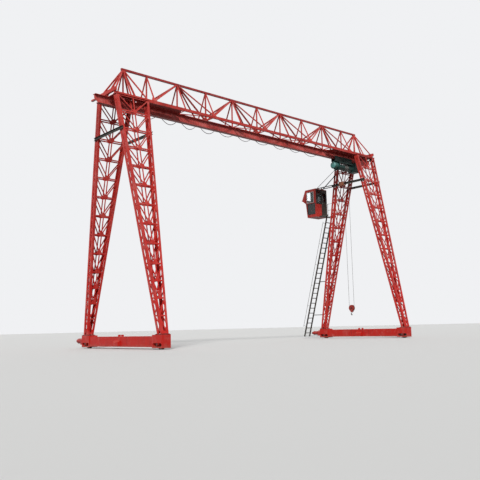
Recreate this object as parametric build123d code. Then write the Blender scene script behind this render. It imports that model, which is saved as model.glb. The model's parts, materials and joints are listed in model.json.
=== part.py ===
from build123d import *
import math
import os

os.makedirs("parts", exist_ok=True)

# Truss gantry crane, millimetres, +Z up.
# X runs along the girder, Y along the crane's rails, the floor is Z = 0.
# The origin lies midway between the two supports and the two rails' ends.

# Driving dimensions of the portal
span = 20000.0                # between the centre planes of the two supports
bay = 2120.0                  # length of one girder panel
bay_count = 8                 # whole panels between the last inner nodes
leg_top_half = 1010.0         # half width of a leg along X where it meets the girder
leg_foot_half = 195.0         # half width of a leg along X at its foot
leg_top_depth = 320.0         # depth of a leg along Y at the girder
leg_foot_depth = 420.0        # depth of a leg along Y at its foot
leg_foot_y = 3590.0           # leg foot's centre from the crane's middle
carriage_top = 700.0          # top of the wheel boxes
clear_height = 12850.0        # from the floor to the track's lower flange
chord_rise = 560.0            # from there to the top of the girder's side chords
girder_rise = 1720.0          # from there to the top of the girder's upper chord
girder_half = 856.0           # outer face of a side chord from the middle
support_x = span / 2
track_bottom = clear_height
chord_top = track_bottom + chord_rise
top_chord_top = chord_top + girder_rise
end_bay = (span - bay_count * bay) / 2
side_signs = (("near", -1), ("far", 1))
end_signs = (("left", -1), ("right", 1))

# Sections
top_chord_width = 120.0
top_chord_height = 110.0
side_chord_height = 160.0
side_chord_flange = 90.0
side_chord_wall = 10.0
track_height = 450.0
track_flange = 280.0
track_flange_wall = 20.0
track_web = 14.0
track_overhang = 740.0        # track beam past the girder's end cross beam
track_bevel = 250.0
web_depth = 50.0              # thickness of the three truss planes
vertical_width = 65.0
diagonal_width = 80.0
middle_width = 100.0
gusset_width = 340.0
gusset_height = 200.0
gusset_taper = 0.5            # width of a gusset's narrow end against its wide one
top_gusset_width = 300.0
top_gusset_height = 190.0
web_seat = 45.0               # a sloping truss plane's foot, inside the chord's outer face
web_overlap = 400.0           # reach of the cutting blocks past the girder
chord_overhang = 60.0         # side chords past the legs
top_overhang = 120.0          # upper chord past the supports
brace_depth = 36.0            # thickness of the horizontal bracing
brace_width = 60.0
seat_gap = 1.0                # clear space between fitted flat bars
lap_gap = 0.3                 # between bracing and the angle that it lies on
offcut_share = 0.01           # bar ends under this share of a truss plane are cut off

end_x = support_x + leg_top_half
track_top = track_bottom + track_height
chord_bottom = chord_top - side_chord_height
top_chord_bottom = top_chord_top - top_chord_height
top_chord_mid = top_chord_top - top_chord_height / 2
inner_x = support_x - end_bay


def save(name, solids):
    """Write one node from a list of solids that don't touch, or one solid."""
    items = solids if isinstance(solids, list) else [solids]
    shapes = [s for item in items for s in item.solids()]
    shape = shapes[0] if len(shapes) == 1 else Compound(children=shapes)
    export_step(shape, "parts/" + name + ".step")


def block(x0, x1, y0, y1, z0, z1):
    """Box between two opposite corners."""
    size = (abs(x1 - x0), abs(y1 - y0), abs(z1 - z0))
    middle = ((x0 + x1) / 2, (y0 + y1) / 2, (z0 + z1) / 2)
    return Pos(*middle) * Box(*size)


def flat_bar(start, end, width):
    """Flat bar between two points of a plane, as a face with square ends."""
    dx = end[0] - start[0]
    dy = end[1] - start[1]
    length = math.hypot(dx, dy)
    turn = math.degrees(math.atan2(dy, dx))
    middle = ((start[0] + end[0]) / 2, (start[1] + end[1]) / 2)
    return Pos(*middle) * Rot(0, 0, turn) * Rectangle(length, width)


def lattice(plane, faces, depth, region=None):
    """Fuse flat bars in one plane, trim them to a region and give them depth."""
    outline = Sketch() + faces
    if region is not None:
        outline = outline & region
    return extrude(plane * outline, depth, dir=plane.z_dir)


def strut(start, end, width, height):
    """Square-ended bar of rectangular section between two points in space."""
    a = Vector(*start)
    b = Vector(*end)
    along = b - a
    side = Vector(0, 0, 1).cross(along)
    if side.length < 1e-6:
        side = Vector(1, 0, 0)
    plane = Plane(origin=a, x_dir=side, z_dir=along)
    return extrude(plane * Rectangle(width, height), along.length)


def rod(start, end, radius):
    """Round bar between two points in space."""
    a = Vector(*start)
    b = Vector(*end)
    return extrude(Plane(origin=a, z_dir=b - a) * Circle(radius), (b - a).length)


def rail(start, end, radius):
    """Six-sided bar between two points in space."""
    a = Vector(*start)
    b = Vector(*end)
    return extrude(Plane(origin=a, z_dir=b - a) * RegularPolygon(radius, 6), (b - a).length)


def drum_x(x0, x1, radius, z):
    """Cylinder along X between two places."""
    low = (Align.CENTER, Align.CENTER, Align.MIN)
    return Pos(x0, 0, z) * Rot(0, 90, 0) * Cylinder(radius, x1 - x0, align=low)


def beam_x(profile, x0, x1):
    """Extrude a profile drawn in the Y-Z plane along X."""
    plane = Plane(origin=(x0, 0, 0), x_dir=(0, 1, 0), z_dir=(1, 0, 0))
    return extrude(plane * profile, x1 - x0, dir=(1, 0, 0))


# Girder: node places along X, outer to outer
def girder_nodes():
    inner = [(-bay_count / 2 + i) * bay for i in range(bay_count + 1)]
    return [-support_x] + inner + [support_x]


def side_chord(sign):
    """Channel with its back outwards and its flanges towards the middle."""
    outer = sign * girder_half
    inner = sign * (girder_half - side_chord_flange)
    wall = sign * (girder_half - side_chord_wall)
    profile = Polygon(
        (outer, chord_bottom), (inner, chord_bottom),
        (inner, chord_bottom + side_chord_wall), (wall, chord_bottom + side_chord_wall),
        (wall, chord_top - side_chord_wall), (inner, chord_top - side_chord_wall),
        (inner, chord_top), (outer, chord_top), align=None)
    return beam_x(profile, -end_x - chord_overhang, end_x + chord_overhang)


def track_beam():
    """Two flanges and the web between them, their lower ends bevelled."""
    low = track_bottom + track_flange_wall
    high = track_top - track_flange_wall
    reach = end_x + track_overhang
    flanges = []
    for z0 in (track_bottom, high):
        flanges.append(block(-reach, reach, -track_flange / 2, track_flange / 2,
                             z0, z0 + track_flange_wall))
    web = block(-reach, reach, -track_web / 2, track_web / 2, low, high)
    for sign in (-1, 1):
        corner = Plane.XZ * Polygon(
            (sign * reach, track_bottom), (sign * (reach - track_bevel), track_bottom),
            (sign * reach, track_bottom + track_bevel), align=None)
        wedge = extrude(corner, track_flange, both=True)
        flanges[0] -= wedge
        web -= wedge
    return flanges, web


cross_width = 120.0
cross_height = 190.0
cross_half = 950.0
bracket_end = 1560.0           # far end of the bracket beside the girder's left end
bracket_height = 80.0


def end_cross_beam(sign):
    """Cross beam on the side chords, where the end members come down."""
    x0 = sign * (end_x - cross_width / 2)
    x1 = sign * (end_x + cross_width / 2)
    beam = block(x0, x1, -cross_half, cross_half, chord_top, chord_top + cross_height)
    if sign < 0:
        middle = chord_top + cross_height / 2
        beam += block(x0, x1, cross_half, bracket_end, middle - bracket_height / 2,
                      middle + bracket_height / 2)
    return beam


def web_faces(foot, top, bar_scale, to_plane):
    """Bars of one truss plane.

    foot and top are the heights of the bar ends, to_plane turns a place along X
    and a height share into the plane's own coordinates.
    """
    nodes = girder_nodes()
    faces = []
    for i, x in enumerate(nodes):
        faces.append(flat_bar(to_plane(x, foot), to_plane(x, top), vertical_width * bar_scale))
        if i % 2 == 0 and 0 < i < len(nodes) - 1:
            for j in (i - 1, i + 1):
                low = to_plane(nodes[j], foot)
                faces.append(flat_bar(low, to_plane(x, top), diagonal_width * bar_scale))
    for sign in (-1, 1):
        low = to_plane(sign * end_x, foot)
        high = to_plane(sign * support_x, top)
        faces.append(flat_bar(low, high, diagonal_width * bar_scale))
        low = to_plane(sign * (support_x - leg_top_half), foot)
        faces.append(flat_bar(low, high, diagonal_width * bar_scale))
    return faces


def gusset_faces(foot, top, to_plane):
    """Plates where the diagonals meet, at the lower nodes and under the upper chord."""
    plates = []
    for i, x in enumerate(girder_nodes()):
        if i % 2 == 1:
            base, tip, wide = foot, foot + gusset_height, gusset_width / 2
        else:
            base, tip, wide = top, top - top_gusset_height, top_gusset_width / 2
        thin = wide * gusset_taper
        corners = [to_plane(x - wide, base), to_plane(x + wide, base),
                   to_plane(x + thin, tip), to_plane(x - thin, tip)]
        plates.append(Polygon(*corners, align=None))
    return plates


def girder():
    top = beam_x(Pos(0, top_chord_mid) * Rectangle(top_chord_width, top_chord_height),
                 -support_x - top_overhang, support_x + top_overhang)
    chords = {name: side_chord(sign) for name, sign in side_signs}
    flanges, web = track_beam()
    crosses = [end_cross_beam(sign) for sign in (-1, 1)]
    save("girder_top_chord", top)
    save("track_flanges", flanges)
    save("track_web", web)
    save("end_cross_beams", crosses)

    # Middle truss plane stands on the track beam
    def upright(x, z):
        return (x, z)

    middle_plane = Plane(origin=(0, web_depth / 2, 0), x_dir=(1, 0, 0), z_dir=(0, -1, 0))
    bars = web_faces(track_top, top_chord_mid, middle_width / diagonal_width, upright)
    limit = Pos(0, (track_top + top_chord_top) / 2) * Rectangle(
        2 * (end_x + web_overlap), top_chord_top - track_top)
    plates = gusset_faces(track_top, top_chord_bottom, upright)
    middle = lattice(middle_plane, bars + plates, web_depth, limit)
    for piece in [top] + crosses:
        middle -= piece
    save("middle_web", without_offcuts(middle))

    save("bottom_bracing", [bottom_bracing(sign) for _, sign in side_signs])

    # Sloping truss planes, between the upper chord and each side chord
    for name, sign in side_signs:
        seat = girder_half - web_seat
        rise = top_chord_mid - chord_top
        lean = math.hypot(seat, rise)
        direction = Vector(0, -sign * seat / lean, rise / lean)
        normal = Vector(1, 0, 0).cross(direction)
        start = Vector(0, sign * seat, chord_top) - normal * (web_depth / 2)
        plane = Plane(origin=start, x_dir=(1, 0, 0), z_dir=normal)

        def slanted(x, z, lean=lean, rise=rise):
            return (x, (z - chord_top) * lean / rise)

        bars = web_faces(chord_top, top_chord_mid, 1.0, slanted)
        plates = gusset_faces(chord_top, top_chord_bottom, slanted)
        web = lattice(plane, bars + plates, web_depth)
        cut = [top, chords[name]] + crosses
        reach = end_x + web_overlap
        cut.append(block(-reach, reach, -web_depth / 2 - seat_gap, web_depth / 2 + seat_gap,
                         track_top, top_chord_top + web_overlap))
        cut.append(block(-reach, reach, sign * (girder_half - web_overlap),
                         sign * (girder_half + web_overlap), chord_bottom - web_overlap, chord_top))
        for piece in cut:
            web -= piece
        save(name + "_web", without_offcuts(web))
        save("girder_" + name + "_chord", chords[name])


def largest(shape):
    """The main solid of a cut piece."""
    return max(shape.solids(), key=lambda solid: solid.volume)


def without_offcuts(shape):
    """The solids of a cut truss plane, without the bar ends beyond its chords."""
    least = offcut_share * largest(shape).volume
    return [solid for solid in shape.solids() if solid.volume > least]


bracing_inset = 200.0          # short of the side chords' ends


def bottom_bracing(sign):
    """Horizontal lattice from the track beam's top flange to a side chord."""
    outer = sign * (girder_half - side_chord_wall)
    inner = sign * (web_depth / 2 + seat_gap)
    rail = brace_width / 2
    nodes = girder_nodes()
    reach = end_x - bracing_inset
    faces = [flat_bar((-reach, inner + sign * rail), (reach, inner + sign * rail), brace_width)]
    for i, x in enumerate(nodes):
        faces.append(flat_bar((x, inner), (x, outer), brace_width))
        if 0 < i < len(nodes) - 1 and i % 2 == 0:
            for j in (i - 1, i + 1):
                start = (x, inner + sign * rail)
                faces.append(flat_bar(start, (nodes[j], outer), brace_width))
    limit = Polygon((-reach, inner), (reach, inner), (reach, outer), (-reach, outer), align=None)
    return lattice(Plane(origin=(0, 0, track_top)), faces, brace_depth, limit)


# Plates under the side chords at the two supports
plate_wall = 20.0
plate_reach = 3350.0           # from the support's centre towards the middle
plate_slant = 250.0
plate_edge = 1050.0
plate_margin = 40.0            # past the leg's corners
plate_inset = 5.0              # from the track beam's flange
plate_hole = 70.0
plate_hole_sides = 12
plate_hole_shares = (-0.55, -0.2, 0.25)    # along a leg's half width


def bottom_plates():
    plates = []
    for _, end in end_signs:
        for _, side in side_signs:
            inner = side * (track_flange / 2 + plate_inset)
            outer = side * plate_edge
            far = end * (end_x + plate_margin)
            near = end * (support_x - plate_reach)
            step = end * (support_x - leg_top_half - plate_margin)
            face = Polygon((far, inner), (far, outer), (step, outer),
                           (step, side * girder_half), (near, side * girder_half),
                           (near - end * plate_slant, inner), align=None)
            for share in plate_hole_shares:
                centre = (end * (support_x + share * leg_top_half), side * girder_half / 2)
                face -= Pos(*centre) * RegularPolygon(plate_hole, plate_hole_sides)
            plane = Plane(origin=(0, 0, chord_bottom - plate_wall))
            plates.append(extrude(plane * face, plate_wall, dir=(0, 0, 1)))
    save("support_plates", plates)


# Legs
leg_top = chord_bottom - plate_wall
foot_plate = 25.0
leg_foot = carriage_top + 2 * foot_plate
leg_top_y = girder_half
chord_leg = 130.0              # side of the leg's corner angle
chord_leg_wall = 10.0
fan_depth = 34.0               # thickness of the fan bracing
fan_strut = 70.0
fan_diagonal = 55.0
fan_first = 900.0              # from the girder down to the first strut
fan_pitch = 1020.0
fan_count = 9
foot_panels = 4
fan_gusset_half = 165.0        # half width of the plate where a panel's bars meet
fan_gusset_share = 0.5         # of the leg's half width, where the leg is narrow
fan_gusset_height = 160.0
fan_gusset_drop = 55.0         # below the strut's centre line
lacing_depth = 24.0
lacing_width = 60.0
foot_half_x = 260.0
foot_half_y = 290.0
foot_step_x = 30.0             # the upper foot plate is this much smaller
foot_step_y = 40.0
trim = 10.0                    # the bracing stops this far from the end plates


def leg_half_x(z):
    share = (z - leg_foot) / (leg_top - leg_foot)
    return leg_foot_half + (leg_top_half - leg_foot_half) * share


def leg_mid_y(z):
    share = (z - leg_foot) / (leg_top - leg_foot)
    return leg_foot_y + (leg_top_y - leg_foot_y) * share


def leg_half_y(z):
    share = (z - leg_foot) / (leg_top - leg_foot)
    return (leg_foot_depth + (leg_top_depth - leg_foot_depth) * share) / 2


def leg_levels():
    """Heights of the horizontal struts, from the girder down to the foot."""
    levels = [leg_top] + [leg_top - fan_first - i * fan_pitch for i in range(fan_count)]
    rest = (levels[-1] - leg_foot) / foot_panels
    return levels + [levels[-1] - (i + 1) * rest for i in range(foot_panels)]


def leg_chord(end, side, sx, sy):
    """One corner angle of a leg, its section square to the axes at each level."""
    sections = []
    for z in (leg_foot, leg_top):
        x = end * support_x + sx * leg_half_x(z)
        y = side * leg_mid_y(z) + sy * leg_half_y(z)
        a = chord_leg
        t = chord_leg_wall
        profile = Polygon((x, y), (x - sx * a, y), (x - sx * a, y - sy * t),
                          (x - sx * t, y - sy * t), (x - sx * t, y - sy * a),
                          (x, y - sy * a), align=None)
        sections.append(Plane(origin=(0, 0, z)) * profile)
    return loft(sections, ruled=True)


def fan_face(end, side, sy):
    """Fan bracing of one wide face of a leg, inside the corner angles."""
    lap = chord_leg_wall + lap_gap
    y_top = side * leg_mid_y(leg_top) + sy * (leg_half_y(leg_top) - lap)
    y_foot = side * leg_mid_y(leg_foot) + sy * (leg_half_y(leg_foot) - lap)
    drop = math.hypot(leg_top - leg_foot, y_top - y_foot)
    stretch = drop / (leg_top - leg_foot)
    up = Vector(0, y_top - y_foot, leg_top - leg_foot).normalized()
    normal = Vector(1, 0, 0).cross(up)
    if normal.Y * sy > 0:
        normal = -normal
    plane = Plane(origin=(end * support_x, y_foot, leg_foot),
                  x_dir=Vector(up.cross(normal)), z_dir=normal)

    def at(x, z):
        return (x, (z - leg_foot) * stretch)

    faces = []
    levels = leg_levels()
    for i, (high, low) in enumerate(zip(levels, levels[1:])):
        wide = leg_half_x(high) - chord_leg / 2
        narrow = leg_half_x(low) - chord_leg / 2
        last = i == len(levels) - 2
        if i < fan_count + 2:
            faces.append(flat_bar(at(-wide, high), at(0, low), fan_diagonal))
            faces.append(flat_bar(at(wide, high), at(0, low), fan_diagonal))
            faces.append(flat_bar(at(0, high), at(0, low), fan_diagonal))
            half = min(fan_gusset_half, fan_gusset_share * leg_half_x(low))
            base = low - fan_gusset_drop
            tip = low + fan_gusset_height
            faces.append(Polygon(at(-half / 2, base), at(half / 2, base), at(half, low),
                                 at(half / 2, tip), at(-half / 2, tip), at(-half, low),
                                 align=None))
        else:
            flip = 1 if i % 2 else -1
            faces.append(flat_bar(at(-flip * wide, high), at(flip * narrow, low), fan_diagonal))
        if not last:
            faces.append(flat_bar(at(-narrow, low), at(narrow, low), fan_strut))
    faces.append(flat_bar(at(-leg_top_half, leg_top - fan_strut / 2),
                          at(leg_top_half, leg_top - fan_strut / 2), fan_strut))
    faces.append(flat_bar(at(-leg_foot_half, leg_foot + fan_strut),
                          at(leg_foot_half, leg_foot + fan_strut), 2 * fan_strut))
    t = chord_leg_wall + seat_gap
    low = leg_foot + trim
    high = leg_top - trim
    region = Polygon(at(-leg_half_x(low) + t, low), at(leg_half_x(low) - t, low),
                     at(leg_half_x(high) - t, high), at(-leg_half_x(high) + t, high), align=None)
    return lattice(plane, faces, fan_depth, region)


def lacing_face(end, side, sx):
    """Zigzag lacing of one narrow face of a leg, inside the corner angles."""
    lap = chord_leg_wall + lap_gap
    x_top = end * support_x + sx * (leg_half_x(leg_top) - lap)
    x_foot = end * support_x + sx * (leg_half_x(leg_foot) - lap)
    up = Vector(x_top - x_foot, 0, leg_top - leg_foot)
    stretch = up.length / (leg_top - leg_foot)
    up = up.normalized()
    normal = Vector(0, 1, 0).cross(up)
    if normal.X * sx > 0:
        normal = -normal
    plane = Plane(origin=(x_foot, 0, leg_foot), x_dir=Vector(up.cross(normal)), z_dir=normal)
    flip = 1 if plane.x_dir.Y > 0 else -1
    inset = chord_leg_wall + fan_depth + 3 * seat_gap

    def at(offset, z):
        y = side * leg_mid_y(z) + offset * (leg_half_y(z) - inset)
        return (flip * y, (z - leg_foot) * stretch)

    faces = []
    levels = leg_levels()
    turn = 1
    for high, low in zip(levels, levels[1:]):
        half = (high + low) / 2
        faces.append(flat_bar(at(turn, high), at(-turn, half), lacing_width))
        faces.append(flat_bar(at(-turn, half), at(turn, low), lacing_width))
        if low > leg_foot:
            faces.append(flat_bar(at(-1, low), at(1, low), lacing_width))
    edge = chord_leg - inset
    for sign in (-1, 1):
        low = at(sign, leg_foot)
        high = at(sign, leg_top)
        shift = -sign * flip * edge / 2
        faces.append(flat_bar((low[0] + shift, low[1]), (high[0] + shift, high[1]), edge))
    region = Polygon(at(-1, leg_foot + trim), at(1, leg_foot + trim),
                     at(1, leg_top - trim), at(-1, leg_top - trim), align=None)
    return lattice(plane, faces, lacing_depth, region)


def legs():
    feet = []
    for end_name, end in end_signs:
        for side_name, side in side_signs:
            name = side_name + "_" + end_name + "_leg_"
            corners = [leg_chord(end, side, sx, sy) for sx in (-1, 1) for sy in (-1, 1)]
            save(name + "chords", corners)
            save(name + "fans", [fan_face(end, side, sy) for sy in (-1, 1)])
            save(name + "lacing", [lacing_face(end, side, sx) for sx in (-1, 1)])
            x = end * support_x
            y = side * leg_foot_y
            wide = foot_half_x - foot_step_x
            deep = foot_half_y - foot_step_y
            lower = block(x - foot_half_x, x + foot_half_x, y - foot_half_y, y + foot_half_y,
                          carriage_top, carriage_top + foot_plate)
            upper = block(x - wide, x + wide, y - deep, y + deep, carriage_top + foot_plate,
                          leg_foot)
            feet.append(lower + upper)
    save("leg_feet", feet)


# Channel braces across each pair of legs
brace_level = leg_top - fan_first - fan_pitch
channel_height = 160.0
channel_flange = 65.0
channel_wall = 10.0
brace_overhang = 30.0
brace_half = leg_mid_y(brace_level) + leg_half_y(brace_level) + brace_overhang
junction_depth = 110.0
junction_height = 300.0
junction_length = 430.0
junction_y = 340.0


def brace_plane(end, sx, y):
    """Plane across a brace, its first direction square to the legs' narrow faces."""
    lean = math.atan2(leg_top_half - leg_foot_half, leg_top - leg_foot)
    outward = Vector(sx * math.cos(lean), 0, -math.sin(lean))
    seat = Vector(end * support_x + sx * leg_half_x(brace_level), y, brace_level)
    return Plane(origin=seat, x_dir=outward, z_dir=(0, sx, 0))


def channel_profile():
    """Channel section with its back on the legs and its flanges outwards."""
    h = channel_height / 2
    w = channel_flange
    t = channel_wall
    return Polygon((0, -h), (w, -h), (w, -h + t), (t, -h + t), (t, h - t), (w, h - t),
                   (w, h), (0, h), align=None)


def braces():
    channels = []
    for _, end in end_signs:
        for sx in (-1, 1):
            profile = channel_profile()
            plane = brace_plane(end, sx, -brace_half)
            channels.append(extrude(plane * profile, 2 * brace_half, dir=(0, 1, 0)))
    save("support_braces", channels)
    case = Pos(channel_flange + junction_depth / 2, 0) * Rectangle(junction_depth, junction_height)
    box = extrude(brace_plane(1, -1, junction_y) * case, junction_length, dir=(0, 1, 0))
    save("junction_box", box)


# End carriages and wheels
beam_half_x = 230.0
beam_top = 633.0
beam_bottom = 110.0
box_half_x = 260.0
box_inner = 3060.0
box_outer = 3880.0
box_bottom = 70.0
wheel_y = 3480.0
wheel_radius = 250.0
tread_radius = 225.0
wheel_half = 70.0
tread_half = 45.0
axle_radius = 40.0
axle_fit = 0.5
axle_end = 12.0                # an axle's end past the side of its box
pocket_gap = 22.0              # between a wheel's side and its pocket
pocket_half_y = 300.0
pocket_top = 560.0
slot_half = 360.0              # long opening in the box's sides, beside the wheel
slot_bottom = 140.0
slot_top = 300.0
slot_corner = 50.0
boss_reach = 80.0              # wall left round the axle
boss_sides = 12
cut_past = 10.0                # a cutting block's reach past what it cuts

reducer_half = 190.0
reducer_bottom = 200.0
reducer_top = 600.0
reducer_slope = 110.0          # bevel of the reducer's upper edge
reducer_length = 300.0
drive_z = 400.0
drive_radius = 130.0
drive_length = 520.0
drive_flange = 30.0
drive_flange_radius = 175.0
drive_cover_radius = 75.0      # at the narrow end of the motor's cover
drive_cover_length = 180.0
drive_ribs = 10
drive_rib_height = 16.0
drive_rib_width = 14.0

splice_wall = 20.0
splice_inset = 20.0            # of a splice plate inside the beam's edges
splice_y0 = -160.0
splice_y1 = 520.0
splice_lugs = (30.0, 330.0)
lug_half_x = 60.0
lug_half_y = 40.0
lug_height = 90.0
splice_box_depth = 110.0       # from the plate outwards
splice_box_y = (-80.0, 440.0)
splice_box_top = 430.0
splice_box_slope = 90.0        # how far its top falls towards its outer face


def wheel_box(end, side):
    """Closed box with a pocket for the wheel and a bore for its axle."""
    x = end * support_x
    y = side * wheel_y
    half = wheel_half + pocket_gap
    shell = block(x - box_half_x, x + box_half_x, side * box_inner, side * box_outer,
                  box_bottom, carriage_top)
    shell -= block(x - half, x + half, y - pocket_half_y, y + pocket_half_y,
                   box_bottom - cut_past, pocket_top)
    bore = Pos(x, y, wheel_radius) * Rot(0, 90, 0)
    shell -= bore * Cylinder(axle_radius + axle_fit, 2 * (box_half_x + cut_past))
    middle = (slot_bottom + slot_top) / 2
    opening = Pos(y, middle) * Rectangle(2 * slot_half, slot_top - slot_bottom)
    opening = chamfer(opening.vertices(), slot_corner)
    opening -= Pos(y, wheel_radius) * RegularPolygon(boss_reach, boss_sides)
    return shell - beam_x(opening, x - box_half_x - cut_past, x + box_half_x + cut_past)


def wheel(end, side):
    """Double-flanged running wheel on its axle."""
    reach = box_half_x + axle_end
    profile = Polygon(
        (-reach, 0), (-reach, axle_radius), (-wheel_half, axle_radius),
        (-wheel_half, wheel_radius), (-tread_half, wheel_radius), (-tread_half, tread_radius),
        (tread_half, tread_radius), (tread_half, wheel_radius), (wheel_half, wheel_radius),
        (wheel_half, axle_radius), (reach, axle_radius), (reach, 0), align=None)
    turned = revolve(profile, Axis.X)
    return Pos(end * support_x, side * wheel_y, wheel_radius) * turned


def drive_unit(end):
    """Reducer with a bevelled top, and a ribbed motor, on the far end of a carriage."""
    x = end * support_x
    half = reducer_half
    shoulder = half - reducer_slope
    profile = Polygon(
        (-half, reducer_bottom), (half, reducer_bottom), (half, reducer_top - reducer_slope),
        (shoulder, reducer_top), (-shoulder, reducer_top),
        (-half, reducer_top - reducer_slope), align=None)
    plane = Plane(origin=(x, box_outer, 0), x_dir=(1, 0, 0), z_dir=(0, -1, 0))
    unit = extrude(plane * profile, reducer_length, dir=(0, 1, 0))
    low = (Align.CENTER, Align.CENTER, Align.MIN)
    axis = Pos(x, box_outer + reducer_length, drive_z) * Rot(-90, 0, 0)
    unit += axis * Cylinder(drive_flange_radius, drive_flange, align=low)
    unit += axis * Cylinder(drive_radius, drive_length, align=low)
    unit += axis * Pos(0, 0, drive_length) * Cone(
        drive_radius, drive_cover_radius, drive_cover_length, align=low)
    rib = Box(2 * (drive_radius + drive_rib_height), drive_rib_width,
              drive_length - 2 * drive_flange, align=low)
    for i in range(drive_ribs // 2):
        unit += axis * Pos(0, 0, 2 * drive_flange) * Rot(0, 0, 360 * i / drive_ribs) * rib
    return unit


def beam_splice(end):
    """Side plates and top lugs where the two halves of a carriage meet."""
    x = end * support_x
    pieces = []
    for sx in (-1, 1):
        pieces.append(block(x + sx * beam_half_x, x + sx * (beam_half_x + splice_wall),
                            splice_y0, splice_y1, beam_bottom + splice_inset,
                            beam_top - splice_inset))
    face = x - beam_half_x - splice_wall
    low = beam_bottom + splice_inset
    profile = Polygon((face, low), (face - splice_box_depth, low),
                      (face - splice_box_depth, splice_box_top - splice_box_slope),
                      (face, splice_box_top), align=None)
    plane = Plane(origin=(0, splice_box_y[1], 0), x_dir=(1, 0, 0), z_dir=(0, -1, 0))
    pieces[0] += extrude(plane * profile, splice_box_y[1] - splice_box_y[0], dir=(0, -1, 0))
    for y in splice_lugs:
        pieces.append(block(x - lug_half_x, x + lug_half_x, y - lug_half_y, y + lug_half_y,
                            beam_top, beam_top + lug_height))
    return pieces


def carriages():
    splices = []
    drives = []
    for name, end in end_signs:
        x = end * support_x
        beam = block(x - beam_half_x, x + beam_half_x, -box_inner, box_inner,
                     beam_bottom, beam_top)
        save(name + "_carriage_beam", beam)
        save(name + "_wheel_boxes", [wheel_box(end, side) for _, side in side_signs])
        splices += beam_splice(end)
        drives.append(drive_unit(end))
        for side_name, side in side_signs:
            save(side_name + "_" + name + "_wheel", wheel(end, side))
    save("beam_splices", splices)
    save("drive_units", drives)


# Driver's cabin, hung beside the far right leg
cabin_x0 = support_x - 1690.0
cabin_x1 = support_x - 450.0
cabin_floor = leg_top - 4150.0
cabin_height = 2140.0
cabin_roof = cabin_floor + cabin_height
landing_gap = 560.0            # between the leg and the cabin, over the landing
leg_side = leg_mid_y(cabin_floor) + leg_half_y(cabin_floor)
cabin_y0 = leg_side + landing_gap
front_foot = cabin_y0 + 900.0
front_sill = cabin_y0 + 1030.0
front_sill_z = cabin_floor + 1080.0
front_tip = cabin_y0 + 1410.0
front_tip_z = cabin_floor + 1380.0
front_top = cabin_y0 + 1060.0
cabin_wall = 40.0
floor_wall = 50.0
roof_wall = 40.0
glass_wall = 8.0
pane_frame = 90.0              # wall left beside a pane across the front
pane_ends = 100.0              # and above and below it
side_pane = (245.0, 920.0)     # along Y from the cabin's back
side_pane_z = (1120.0, 1920.0)
low_pane = (120.0, 840.0)
low_pane_z = (230.0, 1030.0)
back_pane = (70.0, 590.0)      # along X from the cabin's side
back_pane_z = (1040.0, 2040.0)
door_place = (650.0, 1180.0)
door_top = 2040.0
door_gap = 2.0                 # between the door's faces and the wall's
door_frame = 90.0
door_pane_z = (1170.0, 1870.0)


def cabin_profile(inset):
    """Side outline of the cabin in the Y-Z plane, moved inwards by an inset."""
    outline = Polygon(
        (cabin_y0, cabin_floor), (front_foot, cabin_floor), (front_sill, front_sill_z),
        (front_tip, front_tip_z), (front_top, cabin_roof), (cabin_y0, cabin_roof), align=None)
    return offset(outline, -inset) if inset else outline


def back_pane_block(x0, x1, heights, wall):
    """Block across the cabin's back wall, as thick as asked, for a pane or its opening."""
    middle = cabin_y0 + cabin_wall / 2
    return block(x0, x1, middle - wall / 2, middle + wall / 2,
                 cabin_floor + heights[0], cabin_floor + heights[1])


def side_pane_block(x0, reach, heights, wall):
    """Block across a side wall, as thick as asked, for a pane or its opening."""
    middle = x0 + cabin_wall / 2
    return block(middle - wall / 2, middle + wall / 2, cabin_y0 + reach[0], cabin_y0 + reach[1],
                 cabin_floor + heights[0], cabin_floor + heights[1])


def front_pane_block(low, high, wall):
    """Block across one sloping stretch of the front, for a pane or its opening."""
    run = Vector(high[0] - low[0], high[1] - low[1])
    turn = math.degrees(math.atan2(run.Y, run.X))
    inward = Vector(-run.Y, run.X).normalized() * (cabin_wall / 2)
    centre = ((low[0] + high[0]) / 2 + inward.X, (low[1] + high[1]) / 2 + inward.Y)
    face = Pos(*centre) * Rot(0, 0, turn) * Rectangle(run.length - 2 * pane_ends, wall)
    return beam_x(face, cabin_x0 + pane_frame, cabin_x1 - pane_frame)


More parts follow.
